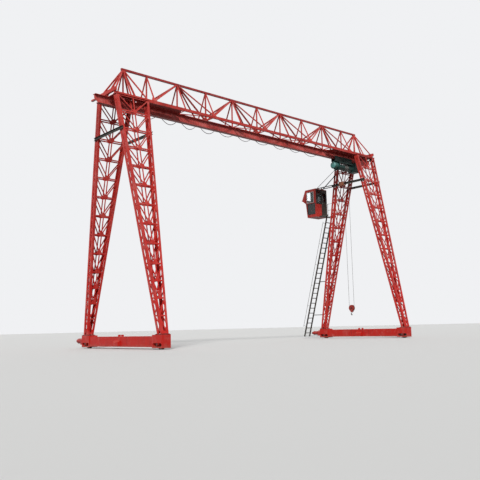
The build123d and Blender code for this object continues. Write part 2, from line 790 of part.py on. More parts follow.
def cabin():
    outer = beam_x(cabin_profile(0), cabin_x0, cabin_x1)
    inner = beam_x(cabin_profile(cabin_wall), cabin_x0 + cabin_wall, cabin_x1 - cabin_wall)
    front = front_tip + cut_past
    floor = outer & block(cabin_x0, cabin_x1, cabin_y0, front, cabin_floor,
                          cabin_floor + floor_wall)
    roof = outer & block(cabin_x0, cabin_x1, cabin_y0, front, cabin_roof - roof_wall, cabin_roof)
    inner += block(cabin_x0 + cabin_wall, cabin_x1 - cabin_wall, cabin_y0 + cabin_wall,
                   front_foot - cabin_wall, cabin_floor - cut_past, cabin_roof + cut_past)
    walls = (outer & block(cabin_x0, cabin_x1, cabin_y0, front, cabin_floor + floor_wall,
                           cabin_roof - roof_wall)) - inner
    through = cabin_wall + 2 * cut_past
    panes = []
    openings = []
    for x0, reach, heights in ((cabin_x0, side_pane, side_pane_z),
                               (cabin_x1 - cabin_wall, side_pane, side_pane_z),
                               (cabin_x0, low_pane, low_pane_z)):
        openings.append(side_pane_block(x0, reach, heights, through))
        panes.append(side_pane_block(x0, reach, heights, glass_wall))
    back = (cabin_x0 + back_pane[0], cabin_x0 + back_pane[1])
    openings.append(back_pane_block(*back, back_pane_z, through))
    panes.append(back_pane_block(*back, back_pane_z, glass_wall))
    for low, high in (((front_tip, front_tip_z), (front_top, cabin_roof)),
                      ((front_foot, cabin_floor), (front_sill, front_sill_z))):
        openings.append(front_pane_block(low, high, through))
        panes.append(front_pane_block(low, high, glass_wall))
    door = (cabin_x0 + door_place[0], cabin_x0 + door_place[1])
    doorway = (floor_wall, door_top)
    openings.append(back_pane_block(*door, doorway, through))
    glazed = (door[0] + door_frame, door[1] - door_frame)
    leaf = back_pane_block(*door, doorway, cabin_wall - 2 * door_gap)
    leaf -= back_pane_block(*glazed, door_pane_z, through)
    panes.append(back_pane_block(*glazed, door_pane_z, glass_wall))
    for opening in openings:
        walls -= opening
    save("cabin_floor", floor)
    save("cabin_roof", roof)
    save("cabin_walls", walls)
    save("cabin_glass", panes)
    save("cabin_door", leaf)


arm_width = 60.0
arm_bar = 50.0
arm_height = 180.0
arm_gap = 8.0                  # between the arm and the leg's corner
arm_length = 920.0             # over the cabin's roof
arm_first_post = 60.0
rod_seat = 40.0                # a tie rod's start above the roof
lug_half = 40.0
lug_top = 60.0
clamp_half = 60.0
clamp_depth = 38.0
clamp_inset = 60.0             # from the leg's outer face to the clamp's middle
clamp_lap = 8.0                # past the rod, onto the leg's corner
ties = ((390.0, 250.0, 750.0, 18.0), (940.0, 120.0, 1240.0, 36.0))


def cabin_carriers():
    """Arm and tie rods that hang the cabin from the far right leg."""
    x1 = support_x - leg_half_x(brace_level) - arm_gap
    x0 = x1 - arm_width
    end = cabin_y0 + arm_length
    top = cabin_roof + arm_height
    arm = block(x0, x1, brace_half, end, cabin_roof, cabin_roof + arm_bar)
    arm += block(x0, x1, brace_half, end, top - arm_bar, top)
    for y in (brace_half, cabin_y0 + arm_first_post, end - arm_bar):
        arm += block(x0, x1, y, y + arm_bar, cabin_roof, top)
    save("cabin_arm", arm)

    # Each tie: its foot on the roof, its drop below the leg's top and its radius
    corner = leg_chord(1, 1, -1, 1)
    rods = []
    for from_side, from_back, drop, radius in ties:
        z = leg_top - drop
        x = cabin_x0 + from_side
        y = cabin_y0 + from_back
        leg_x = support_x - leg_half_x(z) - radius - lap_gap
        leg_y = leg_mid_y(z) + leg_half_y(z) - clamp_inset
        tie = rail((x, y, cabin_roof + rod_seat), (leg_x, leg_y, z), radius)
        tie += block(x - lug_half, x + lug_half, y - lug_half, y + lug_half, cabin_roof,
                     cabin_roof + lug_top)
        tie += block(leg_x - radius, leg_x + radius + clamp_lap, leg_y - clamp_depth,
                     leg_y + clamp_depth, z - clamp_half, z + clamp_half)
        rods.append(largest(tie - corner))
    save("cabin_tie_rods", rods)


# Ladder beside the leg, from just above the ground to the landing
ladder_x0 = support_x - 1050.0
ladder_x1 = support_x - 500.0
ladder_foot_y = leg_foot_y + 1150.0
ladder_foot_z = 160.0
ladder_lean_gap = 85.0         # between the leg and the ladder's top
ladder_over = 120.0            # stiles above the landing
stile_width = 60.0
stile_depth = 90.0
rung_count = 24
rung_side = 52.0
rung_start = 0.7               # the first rung's place, in rungs from the foot
stay_side = 50.0
stay_shares = (0.18, 0.46, 0.74)
stay_lap = 30.0                # a stay's reach over the leg's corner
stay_seat = 50.0               # from the leg's edge to a stay's middle
landing_z = cabin_floor + 20.0
landing_wall = 50.0
landing_x0 = support_x - 1360.0
landing_x1 = support_x - 380.0
landing_back = 90.0            # landing left between the hatch and the cabin
railing_inset = 25.0
railing_height = 1000.0
railing_y = (60.0, 40.0)       # its posts from the leg and from the cabin
post_radius = 16.0
bar_radius = 12.0
handrail_offset = 280.0
handrail_ends = (700.0, 500.0)
handrail_radius = 14.0
bracket_radius = 10.0
bracket_count = 6
bracket_margin = 0.05          # past the first and the last one, as a share of a spacing


def platform_and_ladder():
    """Landing between the leg and the cabin door, with its ladder and rails."""
    top_z = landing_z + landing_wall
    half = stile_width / 2
    leg_edge = leg_mid_y(landing_z) + leg_half_y(landing_z)
    plate = block(landing_x0, landing_x1, leg_edge, cabin_y0, landing_z, top_z)
    plate -= block(ladder_x0 - half, ladder_x1 + half, leg_edge - cut_past,
                   cabin_y0 - landing_back, landing_z - cut_past, top_z + cut_past)
    save("cabin_platform", plate)

    rail_x = landing_x1 - railing_inset
    rail_y0 = leg_edge + railing_y[0]
    rail_y1 = cabin_y0 - railing_y[1]
    rails = rail((rail_x, rail_y0, top_z), (rail_x, rail_y0, top_z + railing_height), post_radius)
    rails += rail((rail_x, rail_y1, top_z), (rail_x, rail_y1, top_z + railing_height), post_radius)
    for rise in (railing_height / 2, railing_height - post_radius):
        rails += rail((rail_x, rail_y0, top_z + rise), (rail_x, rail_y1, top_z + rise), bar_radius)
    save("platform_railing", rails)

    top = Vector(0, leg_edge + ladder_lean_gap, landing_z)
    foot = Vector(0, ladder_foot_y, ladder_foot_z)
    step = (top - foot).normalized()
    high = top + step * ladder_over
    ladder = None
    for x in (ladder_x0, ladder_x1):
        stile = strut((x, foot.Y, foot.Z), (x, high.Y, high.Z), stile_width, stile_depth)
        ladder = stile if ladder is None else ladder + stile
    for i in range(rung_count):
        point = foot + (top - foot) * ((i + rung_start) / rung_count)
        ladder += strut((ladder_x0, point.Y, point.Z), (ladder_x1, point.Y, point.Z),
                        rung_side, rung_side)
    corner = leg_chord(1, 1, -1, 1)
    bar = stay_side / 2
    for share in stay_shares:
        spot = foot + (top - foot) * share
        leg_y = leg_mid_y(spot.Z) + leg_half_y(spot.Z) - stay_lap
        leg_x = support_x - leg_half_x(spot.Z)
        seat = leg_x + stay_seat
        stay = block(min(ladder_x1, seat) - bar, max(ladder_x1, seat) + bar, spot.Y - bar,
                     spot.Y + bar, spot.Z - bar, spot.Z + bar)
        stay += block(seat - bar, seat + bar, leg_y, spot.Y + bar, spot.Z - bar, spot.Z + bar)
        ladder += largest(stay - corner)
    save("cabin_ladder", ladder)

    out = Vector(0, step.Z, -step.Y)
    low = foot + step * handrail_ends[0] + out * handrail_offset
    end = top - step * handrail_ends[1] + out * handrail_offset
    handrail = rail((ladder_x0, low.Y, low.Z), (ladder_x0, end.Y, end.Z), handrail_radius)
    spacings = bracket_count - 1 + 2 * bracket_margin
    for i in range(bracket_count):
        point = low + (end - low) * ((i + bracket_margin) / spacings)
        seat = point - out * (handrail_offset - stile_depth / 2)
        handrail += rail((ladder_x0, seat.Y, seat.Z), (ladder_x0, point.Y, point.Z),
                         bracket_radius)
    save("ladder_handrail", handrail)


# Hoist under the track beam, at its rest place near the right support
hoist_x = support_x - 1150.0   # the rope's place along the girder
trolley_x = hoist_x - 400.0
trolley_half = 950.0
trolley_wall = 24.0
trolley_gap = 14.0             # between the track's flange and the side plates
trolley_wheel_radius = 80.0
trolley_wheel_y = 30.0
trolley_wheel_width = 90.0
trolley_shaft = 26.0
trolley_axle = 640.0           # the wheel axles from the trolley's middle
trolley_rise = 110.0           # side plates above the wheel axles
trolley_floor = 40.0
trolley_drop = 200.0           # from the track's lower flange to the trolley's underside
trolley_bottom = track_bottom - trolley_drop
drum_z = track_bottom - 520.0
rope_reach = 215.0             # each rope's place across, at drum and sheave
rope_radius = 10.0
rope_gap = 0.5                 # between a rope and what it runs on
drum_radius = rope_reach - rope_radius - rope_gap
drum_x0 = hoist_x - 930.0
drum_x1 = hoist_x + 600.0
end_plate = 60.0
frame_half = 285.0             # half width of the hoist's frame
frame_drop = 260.0             # from the drum's axis down to the end plates' lower edge
frame_bevel = 120.0            # cut off the end plates' lower corners
tie_width = 40.0
tie_height = 60.0
hanger_half = 60.0             # cross bars between the ties and the trolley
hanger_height = 25.0
motor_length = 460.0
motor_radius = 240.0
motor_rise = 50.0              # the motor's axis above the drum's
motor_cap = 60.0               # length of the sloping end of the motor
motor_boss = 90.0
motor_boss_length = 30.0
gearbox_length = 620.0
gearbox_half = 350.0
gearbox_drop = 210.0
gearbox_rise = 440.0
gearbox_bevel = 110.0
gearbox_lid = 30.0
gearbox_lid_inset = 45.0


def trolley():
    """Side plates with four wheels on the track beam's lower flange."""
    tread = track_bottom + track_flange_wall
    axle_z = tread + trolley_wheel_radius + lap_gap
    inner = track_flange / 2 + trolley_gap
    outer = inner + trolley_wall
    x0 = trolley_x - trolley_half
    x1 = trolley_x + trolley_half
    wheels = []
    frame = block(x0, x1, -outer, outer, trolley_bottom, trolley_bottom + trolley_floor)
    low = (Align.CENTER, Align.CENTER, Align.MIN)
    for sign in (-1, 1):
        frame += block(x0, x1, sign * inner, sign * outer, trolley_bottom, axle_z + trolley_rise)
        shaft_y = trolley_wheel_y + trolley_wheel_width
        for x in (-trolley_axle, trolley_axle):
            place = Pos(trolley_x + x, 0, axle_z) * Rot(-90 * sign, 0, 0)
            turned = place * Pos(0, 0, trolley_wheel_y) * Cylinder(
                trolley_wheel_radius, trolley_wheel_width, align=low)
            turned += place * Pos(0, 0, shaft_y) * Cylinder(
                trolley_shaft, inner - shaft_y, align=low)
            wheels.append(turned)
    save("hoist_trolley", frame)
    save("trolley_wheels", wheels)


def hoist():
    """Drum between two end plates, with its motor and its gearbox."""
    save("hoist_drum", drum_x(drum_x0, drum_x1, drum_radius, drum_z))

    foot = frame_half - frame_bevel
    base = drum_z - frame_drop
    plate = Polygon((-foot, base), (foot, base), (frame_half, base + frame_bevel),
                    (frame_half, trolley_bottom), (-frame_half, trolley_bottom),
                    (-frame_half, base + frame_bevel), align=None)
    frame = beam_x(plate, drum_x0 - end_plate, drum_x0)
    frame += beam_x(plate, drum_x1, drum_x1 + end_plate)
    for sign in (-1, 1):
        frame += block(drum_x0, drum_x1, sign * (frame_half - tie_width), sign * frame_half,
                       trolley_bottom - tie_height, trolley_bottom)
        hanger_x = trolley_x + sign * trolley_axle
        frame += block(hanger_x - hanger_half, hanger_x + hanger_half, -frame_half, frame_half,
                       trolley_bottom - hanger_height, trolley_bottom)
    save("hoist_frame", frame)

    # Motor, turned about its own axis, its outer end sloping to a boss
    seat = drum_x0 - end_plate
    shoulder = seat - motor_length + motor_cap
    tip = seat - motor_length
    profile = Polygon((seat, 0), (seat, motor_radius), (shoulder, motor_radius),
                      (tip, motor_radius - motor_cap), (tip, motor_boss),
                      (tip - motor_boss_length, motor_boss), (tip - motor_boss_length, 0),
                      align=None)
    save("hoist_motor", Pos(0, 0, drum_z + motor_rise) * revolve(Plane.XZ * profile, Axis.X))

    box_x = drum_x1 + end_plate
    low = drum_z - gearbox_drop
    high = drum_z + gearbox_rise
    case = Polygon((-gearbox_half + gearbox_bevel, low), (gearbox_half - gearbox_bevel, low),
                   (gearbox_half, low + gearbox_bevel), (gearbox_half, high),
                   (-gearbox_half, high), (-gearbox_half, low + gearbox_bevel), align=None)
    gearbox = beam_x(case, box_x, box_x + gearbox_length - gearbox_lid)
    lid = offset(case, -gearbox_lid_inset)
    gearbox += beam_x(lid, box_x, box_x + gearbox_length)
    save("hoist_gearbox", gearbox)


# Cable loops in clips under a rail, on the far side of the track beam
festoon_y = 600.0
festoon_rail_width = 40.0
festoon_rail_height = 40.0
festoon_rail_top = leg_top
festoon_rail_bottom = festoon_rail_top - festoon_rail_height
cable_radius = 18.0
cable_z = festoon_rail_bottom - 30.0
clip_half_x = 9.0
clip_half_y = 35.0
hanger_side = 40.0
terminal_length = 100.0
terminal_half = 60.0
terminal_drop = 110.0
cable_start = -8820.0
cable_end = 7340.0
clip_places = (-7230.0, -5800.0, -4380.0, -2890.0, -1340.0, 160.0, 1810.0, 3390.0, 4840.0,
               6620.0)
# The cable's corners: place along X and drop below the clips
cable_route = (
    (-8820, 0), (-8630, 0), (-8390, 160), (-8130, 300), (-7840, 310), (-7580, 170), (-7320, 0),
    (-7140, 0), (-6920, 210), (-6660, 350), (-6380, 360), (-6120, 220), (-5890, 0),
    (-5710, 0), (-5500, 200), (-5240, 350), (-4960, 375), (-4700, 230), (-4470, 0),
    (-4290, 0), (-4060, 220), (-3790, 360), (-3490, 365), (-3220, 230), (-2980, 0),
    (-2800, 0), (-2560, 190), (-2270, 290), (-1950, 285), (-1670, 170), (-1430, 0),
    (-1250, 0), (-1020, 200), (-740, 310), (-430, 305), (-170, 190), (70, 0),
    (250, 0), (500, 170), (790, 265), (1120, 270), (1440, 170), (1720, 0),
    (1900, 0), (2150, 180), (2440, 285), (2750, 290), (3050, 175), (3300, 0),
    (3480, 0), (3710, 160), (3980, 255), (4270, 260), (4530, 155), (4750, 0),
    (4930, 0), (5200, 175), (5520, 290), (5880, 295), (6230, 175), (6530, 0),
    (6710, 0), (6880, 85), (7060, 90), (7230, 0), (7340, 0))


def cable_path():
    """Straight runs joined by arcs as large as the runs beside each corner allow."""
    points = [Vector(x, festoon_y, cable_z - drop) for x, drop in cable_route]
    radii = []
    for a, b, c in zip(points, points[1:], points[2:]):
        turn = math.radians((b - a).get_angle(c - b))
        run = min((b - a).length, (c - b).length)
        radii.append(0.45 * run / math.tan(turn / 2))
    print("cable arc radii", " ".join(f"{r:.0f}" for r in radii))
    return FilletPolyline(*[tuple(p) for p in points], radius=radii)


def festoon():
    """Rail with its hangers, clips and end boxes, and the cable in loops."""
    half = festoon_rail_width / 2
    track = block(cable_start - terminal_length, cable_end + terminal_length, festoon_y - half,
                  festoon_y + half, festoon_rail_bottom, festoon_rail_top)
    for x in girder_nodes():
        if abs(x) < support_x - plate_reach:
            track += block(x - hanger_side / 2, x + hanger_side / 2, festoon_y - half,
                           festoon_y + half, festoon_rail_bottom, track_top)
    for x in clip_places:
        track += block(x - clip_half_x, x + clip_half_x, festoon_y - clip_half_y,
                       festoon_y + clip_half_y, cable_z + cable_radius, festoon_rail_bottom)
    for x in (cable_start - terminal_length, cable_end):
        track += block(x, x + terminal_length, festoon_y - terminal_half,
                       festoon_y + terminal_half, festoon_rail_bottom - terminal_drop,
                       festoon_rail_bottom)
    save("festoon_rail", track)

    path = cable_path()
    face = RegularPolygon(cable_radius, 6, major_radius=False)
    section = Plane(origin=path @ 0, x_dir=(0, 1, 0), z_dir=path % 0) * face
    cable = sweep(section, path=path)
    print("cable length", round(path.length), "volume share",
          round(cable.volume / (face.area * path.length), 5))
    save("festoon_cable", cable)


# Hook block on two rope falls
sheave_z = 2140.0
cheek_radius = 225.0
cheek_gap = 72.0
cheek_wall = 30.0
sheave_half = 30.0
boss_radius = 60.0
head_half = 90.0
head_bottom = 1860.0
head_height = 60.0
cheek_lap = 140.0              # from the sheave's axis down to the cheeks' straight part
hook_z = 1800.0                # centre line at the top of the hook's bend
hook_radius = 72.0
hook_start = 90.0              # degrees, at the shank
hook_sweep = 235.0             # degrees of bend
hook_belly_share = 0.6         # of the bend, where it is thickest
hook_stations = 9
hook_sides = 8
shank_radius = 25.0
hook_belly = 32.0              # half thickness at the bottom of the bend
hook_tip = 11.0


def hook_section(share):
    """One many-sided section of the hook, at a share of its bend."""
    angle = hook_start - share * hook_sweep
    if share < hook_belly_share:
        size = shank_radius + (hook_belly - shank_radius) * share / hook_belly_share
    else:
        thinning = (share - hook_belly_share) / (1 - hook_belly_share)
        size = hook_belly + (hook_tip - hook_belly) * thinning
    lie = math.radians(angle)
    out = Vector(0, math.cos(lie), math.sin(lie))
    along = Vector(0, math.sin(lie), -math.cos(lie))
    spot = Vector(hoist_x, 0, hook_z - hook_radius) + out * hook_radius
    plane = Plane(origin=spot, x_dir=out, z_dir=along)
    return plane * RegularPolygon(size, hook_sides, rotation=180.0 / hook_sides)


def hook_and_ropes():
    """Rope falls, the sheave between its cheeks, and the hook below them."""
    ropes = [rod((hoist_x, sign * rope_reach, sheave_z), (hoist_x, sign * rope_reach, drum_z),
                 rope_radius) for sign in (-1, 1)]
    save("hoist_ropes", ropes)
    rim = rope_reach - rope_radius - rope_gap
    save("hook_sheave", drum_x(hoist_x - sheave_half, hoist_x + sheave_half, rim, sheave_z))

    inside = cheek_gap / 2
    outside = inside + cheek_wall
    head = block(hoist_x - outside, hoist_x + outside, -head_half, head_half, head_bottom,
                 head_bottom + head_height)
    for x0, x1, boss0, boss1 in ((-outside, -inside, -inside, -sheave_half),
                                 (inside, outside, sheave_half, inside)):
        head += block(hoist_x + x0, hoist_x + x1, -head_half, head_half, head_bottom,
                      sheave_z - cheek_lap)
        head += drum_x(hoist_x + x0, hoist_x + x1, cheek_radius, sheave_z)
        head += drum_x(hoist_x + boss0, hoist_x + boss1, boss_radius, sheave_z)
    save("hook_block", head)

    bend = loft([hook_section(i / (hook_stations - 1)) for i in range(hook_stations)], ruled=True)
    shank = extrude(Plane(origin=(hoist_x, 0, hook_z)) * RegularPolygon(shank_radius, hook_sides),
                    head_bottom - hook_z)
    save("hook", bend + shank)


girder()
bottom_plates()
legs()
braces()
carriages()
cabin()
cabin_carriers()
platform_and_ladder()
trolley()
hoist()
festoon()
hook_and_ropes()
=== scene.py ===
import json
import logging
import math
from dataclasses import dataclass
from enum import Enum
from itertools import product
from typing import Iterable, Sequence

import bmesh
import bpy
from mathutils import Matrix, Vector
from mathutils.geometry import interpolate_bezier


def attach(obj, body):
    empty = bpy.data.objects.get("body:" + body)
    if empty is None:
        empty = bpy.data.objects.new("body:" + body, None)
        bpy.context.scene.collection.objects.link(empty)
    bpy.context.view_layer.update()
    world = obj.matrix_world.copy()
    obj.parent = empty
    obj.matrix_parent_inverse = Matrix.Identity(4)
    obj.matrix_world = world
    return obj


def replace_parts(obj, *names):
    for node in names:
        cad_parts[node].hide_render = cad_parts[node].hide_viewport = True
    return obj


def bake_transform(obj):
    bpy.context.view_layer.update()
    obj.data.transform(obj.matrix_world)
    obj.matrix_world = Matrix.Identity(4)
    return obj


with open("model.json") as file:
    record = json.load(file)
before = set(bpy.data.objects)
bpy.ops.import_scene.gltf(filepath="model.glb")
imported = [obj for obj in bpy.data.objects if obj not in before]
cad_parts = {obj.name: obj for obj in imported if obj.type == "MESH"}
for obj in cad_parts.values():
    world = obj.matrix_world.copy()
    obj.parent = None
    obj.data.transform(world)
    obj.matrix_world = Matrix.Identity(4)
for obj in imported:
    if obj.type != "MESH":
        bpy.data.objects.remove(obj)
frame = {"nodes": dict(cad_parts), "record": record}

LOG = logging.getLogger("portal_crane")
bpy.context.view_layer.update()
SIDES = (-1, 1)
ALONG, ACROSS, UP = (Vector(axis) for axis in ((1, 0, 0), (0, 1, 0), (0, 0, 1)))

Point = tuple[float, float, float]
Span = tuple[float, float]
Shade = tuple[int, int, int]
Spot = tuple[Vector, Vector]
Socket = bpy.types.NodeSocket
Material = bpy.types.Material


class Body(Enum):
    """Rigid bodies of the crane that a dressed piece can ride on."""

    PORTAL = "portal"
    HOIST = "hoist"
    HOOK = "hook_body"


class Slot(Enum):
    """Finishes that the record knows."""

    RED = "red_paint"
    DARK = "dark_paint"
    ORANGE = "orange_paint"
    DRIVE = "drive_paint"
    TEAL = "teal_paint"
    HOOK_RED = "hook_red"
    HOOK_BLACK = "hook_black"
    WHEEL = "wheel_steel"
    ROPE = "wire_rope"
    CABLE = "cable_sheath"
    GLASS = "window_glass"


def to_linear(shade: Shade) -> tuple[float, float, float, float]:
    """Turn a display colour into a shader colour.

    Args:
        shade: Red, green and blue from 0 to 255.

    Returns:
        The opaque shader colour.
    """
    shares = [value / 255 for value in shade]
    red, green, blue = (((share + 0.055) / 1.055) ** 2.4 if share > 0.04045 else share / 12.92
                        for share in shares)
    return (red, green, blue, 1.0)


def around(count: int, axis: str = "X") -> list[Vector]:
    """Spread directions of length 1 evenly round an axis.

    Args:
        count: Their number.
        axis: The axis, X or Y.

    Returns:
        The directions, in order.
    """
    turns = [math.tau * (i + 0.5) / count for i in range(count)]
    if axis == "X":
        return [Vector((0, math.cos(turn), math.sin(turn))) for turn in turns]
    return [Vector((math.cos(turn), 0, math.sin(turn))) for turn in turns]


class Wiring:
    """Node tree whose nodes are added and fed by name."""

    def __init__(self, tree: bpy.types.NodeTree) -> None:
        """Keep the tree."""
        self.tree = tree

    def feed(self, socket: Socket, value: object) -> None:
        """Give an input a value of its own or another node's output.

        Args:
            socket: The input.
            value: A value, or the output's socket.
        """
        if isinstance(value, Socket):
            self.tree.links.new(value, socket)
        else:
            socket.default_value = value

    def add(self, kind: str, **inputs: object) -> bpy.types.Node:
        """Add a node and fill its inputs with values or sockets.

        Args:
            kind: The node's type.
            **inputs: Input names, with _ for spaces, and what they get.

        Returns:
            The node.
        """
        node = self.tree.nodes.new(kind)
        for label, value in inputs.items():
            self.feed(next(s for s in node.inputs
                           if s.enabled and s.name.replace(" ", "_") == label), value)
        return node

    def calc(self, operation: str, *values: object) -> Socket:
        """Work out one value from numbers or sockets.

        Args:
            operation: The sum's kind, as Blender's math node calls it.
            *values: What goes in.

        Returns:
            The result's socket.
        """
        node = self.add("ShaderNodeMath")
        node.operation = operation
        for socket, value in zip(node.inputs, values):
            self.feed(socket, value)
        return node.outputs[0]


@dataclass(frozen=True)
class Blotches:
    """Noise pattern, with the values between which it goes from least to most."""

    scale: float
    detail: float = 5.0
    rough: float = 0.6
    low: float = 0.0
    high: float = 1.0
    least: float = 0.0
    most: float = 1.0
    shift: float = 0.0
    stretch: Point = (1.0, 1.0, 1.0)


class Graph(Wiring):
    """Nodes of one material, and the tone that its layers build up."""

    # How far a pattern's shift moves it along X, Y and Z
    SHIFT_SHARES = (1.0, 0.7, 0.3)

    def __init__(self, name: str) -> None:
        """Start a material with an empty node tree.

        Args:
            name: The material's name.
        """
        self.material = bpy.data.materials.new(name)
        self.material.use_nodes = True
        super().__init__(self.material.node_tree)
        self.tree.nodes.clear()
        out = self.add("ShaderNodeOutputMaterial")
        self.shader = self.add("ShaderNodeBsdfPrincipled")
        self.feed(out.inputs[0], self.shader.outputs[0])
        self.place = self.add("ShaderNodeTexCoord").outputs["Object"]
        self.tone: object = None

    def noise(self, pattern: Blotches) -> Socket:
        """Plain noise of a pattern, on the piece's own coordinates.

        Args:
            pattern: The pattern.

        Returns:
            The noise's socket.
        """
        moved = self.add("ShaderNodeMapping", Vector=self.place, Scale=pattern.stretch,
                         Location=[pattern.shift * share for share in self.SHIFT_SHARES])
        return self.add("ShaderNodeTexNoise", Vector=moved.outputs[0], Scale=pattern.scale,
                        Detail=pattern.detail, Roughness=pattern.rough).outputs["Fac"]

    def spread(self, pattern: Blotches) -> Socket:
        """Share of the surface that a pattern covers, soft at its edges."""
        return self.ramp(self.noise(pattern), pattern.low, pattern.high, pattern.least,
                         pattern.most)

    def ramp(self, value: Socket, low: float, high: float, start: float = 0.0,
             end: float = 1.0) -> Socket:
        """Map a value range onto another one, held at both ends.

        Args:
            value: The socket to map.
            low: Value that gives start.
            high: Value that gives end.
            start: Result at low.
            end: Result at high.

        Returns:
            The mapped value's socket.
        """
        return self.add("ShaderNodeMapRange", Value=value, From_Min=low, From_Max=high,
                        To_Min=start, To_Max=end).outputs["Result"]

    def times(self, one: Socket, two: Socket) -> Socket:
        """Multiply two values."""
        return self.calc("MULTIPLY", one, two)

    def along(self, axis: str) -> Socket:
        """Place of the shaded point along X, Y or Z."""
        return self.add("ShaderNodeSeparateXYZ", Vector=self.place).outputs[axis]

    def upward(self) -> Socket:
        """How far the surface faces up, from -1 for an underside to 1 for a top."""
        facing = self.add("ShaderNodeNewGeometry").outputs["Normal"]
        return self.add("ShaderNodeSeparateXYZ", Vector=facing).outputs["Z"]

    def mix(self, share: Socket, one: object, two: object) -> Socket:
        """Blend two colours.

        Args:
            share: Share of the second colour.
            one: First colour, a socket or four numbers.
            two: Second colour, a socket or four numbers.

        Returns:
            The blended colour's socket.
        """
        node = self.add("ShaderNodeMix")
        node.data_type = "RGBA"
        ends = [socket for socket in node.inputs if socket.type == "RGBA"]
        for socket, value in zip((node.inputs["Factor"], *ends), (share, one, two)):
            self.feed(socket, value)
        return next(socket for socket in node.outputs if socket.type == "RGBA")

    def lay(self, share: Socket, shade: Shade) -> None:
        """Lay a colour over the tone so far."""
        self.tone = self.mix(share, self.tone, to_linear(shade))

    def bump(self, value: Socket, distance: float, strength: float) -> None:
        """Give the surface a relief, as deep as distance in metres."""
        relief = self.add("ShaderNodeBump", Distance=distance, Strength=strength, Height=value)
        self.surface(Normal=relief.outputs[0])

    def surface(self, **values: object) -> None:
        """Set the shader's inputs, named with _ for spaces, to numbers or sockets."""
        for label, value in values.items():
            self.feed(self.shader.inputs[label.replace("_", " ")], value)


@dataclass(frozen=True)
class WeatheredPaint:
    """Brushed-on machine paint that has faded, run and chipped."""

    FADING = Blotches(0.55, 5.0, 0.6, 0.35, 0.68)
    CHALKING = Blotches(2.3, 7.0, 0.66, 0.5, 0.72, most=0.75, shift=5.3)
    RAIN_RUNS = Blotches(15.0, 6.0, 0.62, 0.49, 0.68, shift=3.1, stretch=(1.0, 1.0, 0.045))
    RUN_PLACES = Blotches(1.7, 5.0, 0.6, 0.42, 0.66, 0.1, 0.85, shift=7.7)
    FLAKES = Blotches(30.0, 8.0, 0.66, shift=11.0)
    CHIP_PLACES = Blotches(2.9, 5.0, 0.6, 0.44, 0.6, shift=2.2)
    DUST_FILM = Blotches(4.5, 6.0, 0.64, shift=9.1)
    GRAIN = Blotches(140.0, 4.0, 0.6, 0.3, 0.7)
    BRUSH_MARKS = Blotches(26.0, 5.0, 0.6, 0.2, 0.8)
    CHALK_LEVEL = 214
    RUST_RIM = 0.07
    RUST_SHARE = 0.6
    CHIP_EDGE = 0.01
    SECOND_EDGE = 0.05
    DUST_AT_FLOOR = 0.85
    SMOOTHER = 0.07
    ROUGHER = 0.16
    # Ranges: the value at both ends, and the share that each end gives
    # Undersides: painted shade, laid in the grime colour
    UNDERSIDE_SHADE = (-0.25, -0.85, 0.0, 0.5)
    TOPS = (0.55, 0.95, 0.0, 0.5)
    DUSTY_TOPS = (0.35, 0.62, 0.25, 1.0)
    DUSTY_FEET = (0.35, 0.62, 0.35, 1.0)

    name: str
    fresh: Shade
    faded: Shade
    # Colour of the rain runs, and of the painted shade on undersides
    grime_and_shade: Shade
    bare: Shade = (96, 62, 48)
    dust: Shade = (150, 128, 108)
    rust: Shade = (112, 50, 32)
    chalk: float = 0.3
    chips: float = 0.65
    dust_top: float = 0.0
    gloss: float = 0.42
    second: Shade | None = None
    second_from: float = 0.0
    aloft: Shade | None = None
    rise: Span = (2.0, 12.0)

    def material(self) -> Material:
        """Build the paint: colours, sun, rain, painted shade on undersides, chips and dust.

        Returns:
            The material.
        """
        g = Graph(self.name)
        fade = g.spread(self.FADING)
        faded = to_linear(self.faded)
        g.tone = g.mix(fade, to_linear(self.fresh), faded)
        if self.aloft is not None:
            rise = g.ramp(g.along("Z"), *self.rise)
            g.tone = g.mix(rise, g.tone, g.mix(fade, to_linear(self.aloft), faded))
        if self.second is not None:
            g.lay(g.ramp(g.along("X"), self.second_from, self.second_from + self.SECOND_EDGE),
                  self.second)
        pale = tuple(round(value + (self.CHALK_LEVEL - value) * self.chalk)
                     for value in self.faded)
        g.lay(g.spread(self.CHALKING), pale)
        g.lay(g.times(g.spread(self.RAIN_RUNS), g.spread(self.RUN_PLACES)), self.grime_and_shade)
        # Painted shade: undersides darken towards the grime colour
        g.lay(g.ramp(g.upward(), *self.UNDERSIDE_SHADE), self.grime_and_shade)
        self._wear(g)
        grain = self.GRAIN
        g.surface(Base_Color=g.tone, Specular_IOR_Level=0.3, Roughness=g.ramp(
            g.noise(grain), grain.low, grain.high, self.gloss - self.SMOOTHER,
            self.gloss + self.ROUGHER))
        g.bump(g.spread(self.BRUSH_MARKS), distance=0.0012, strength=0.35)
        return g.material

    def _wear(self, g: Graph) -> None:
        """Chip the paint, rust each chip's rim, and let dust settle on tops and near the floor.

        Args:
            g: The paint's nodes.
        """
        flakes, where = g.noise(self.FLAKES), g.spread(self.CHIP_PLACES)
        rim = g.ramp(flakes, self.chips - self.RUST_RIM, self.chips, 0.0, self.RUST_SHARE)
        g.lay(g.times(rim, where), self.rust)
        chip = g.ramp(flakes, self.chips - self.CHIP_EDGE, self.chips + self.CHIP_EDGE)
        g.lay(g.times(chip, where), self.bare)
        film = g.noise(self.DUST_FILM)
        g.lay(g.times(g.ramp(g.upward(), *self.TOPS), g.ramp(film, *self.DUSTY_TOPS)), self.dust)
        if self.dust_top > 0:
            low = g.ramp(g.along("Z"), 0.0, self.dust_top, self.DUST_AT_FLOOR, 0.0)
            g.lay(g.times(low, g.ramp(film, *self.DUSTY_FEET)), self.dust)


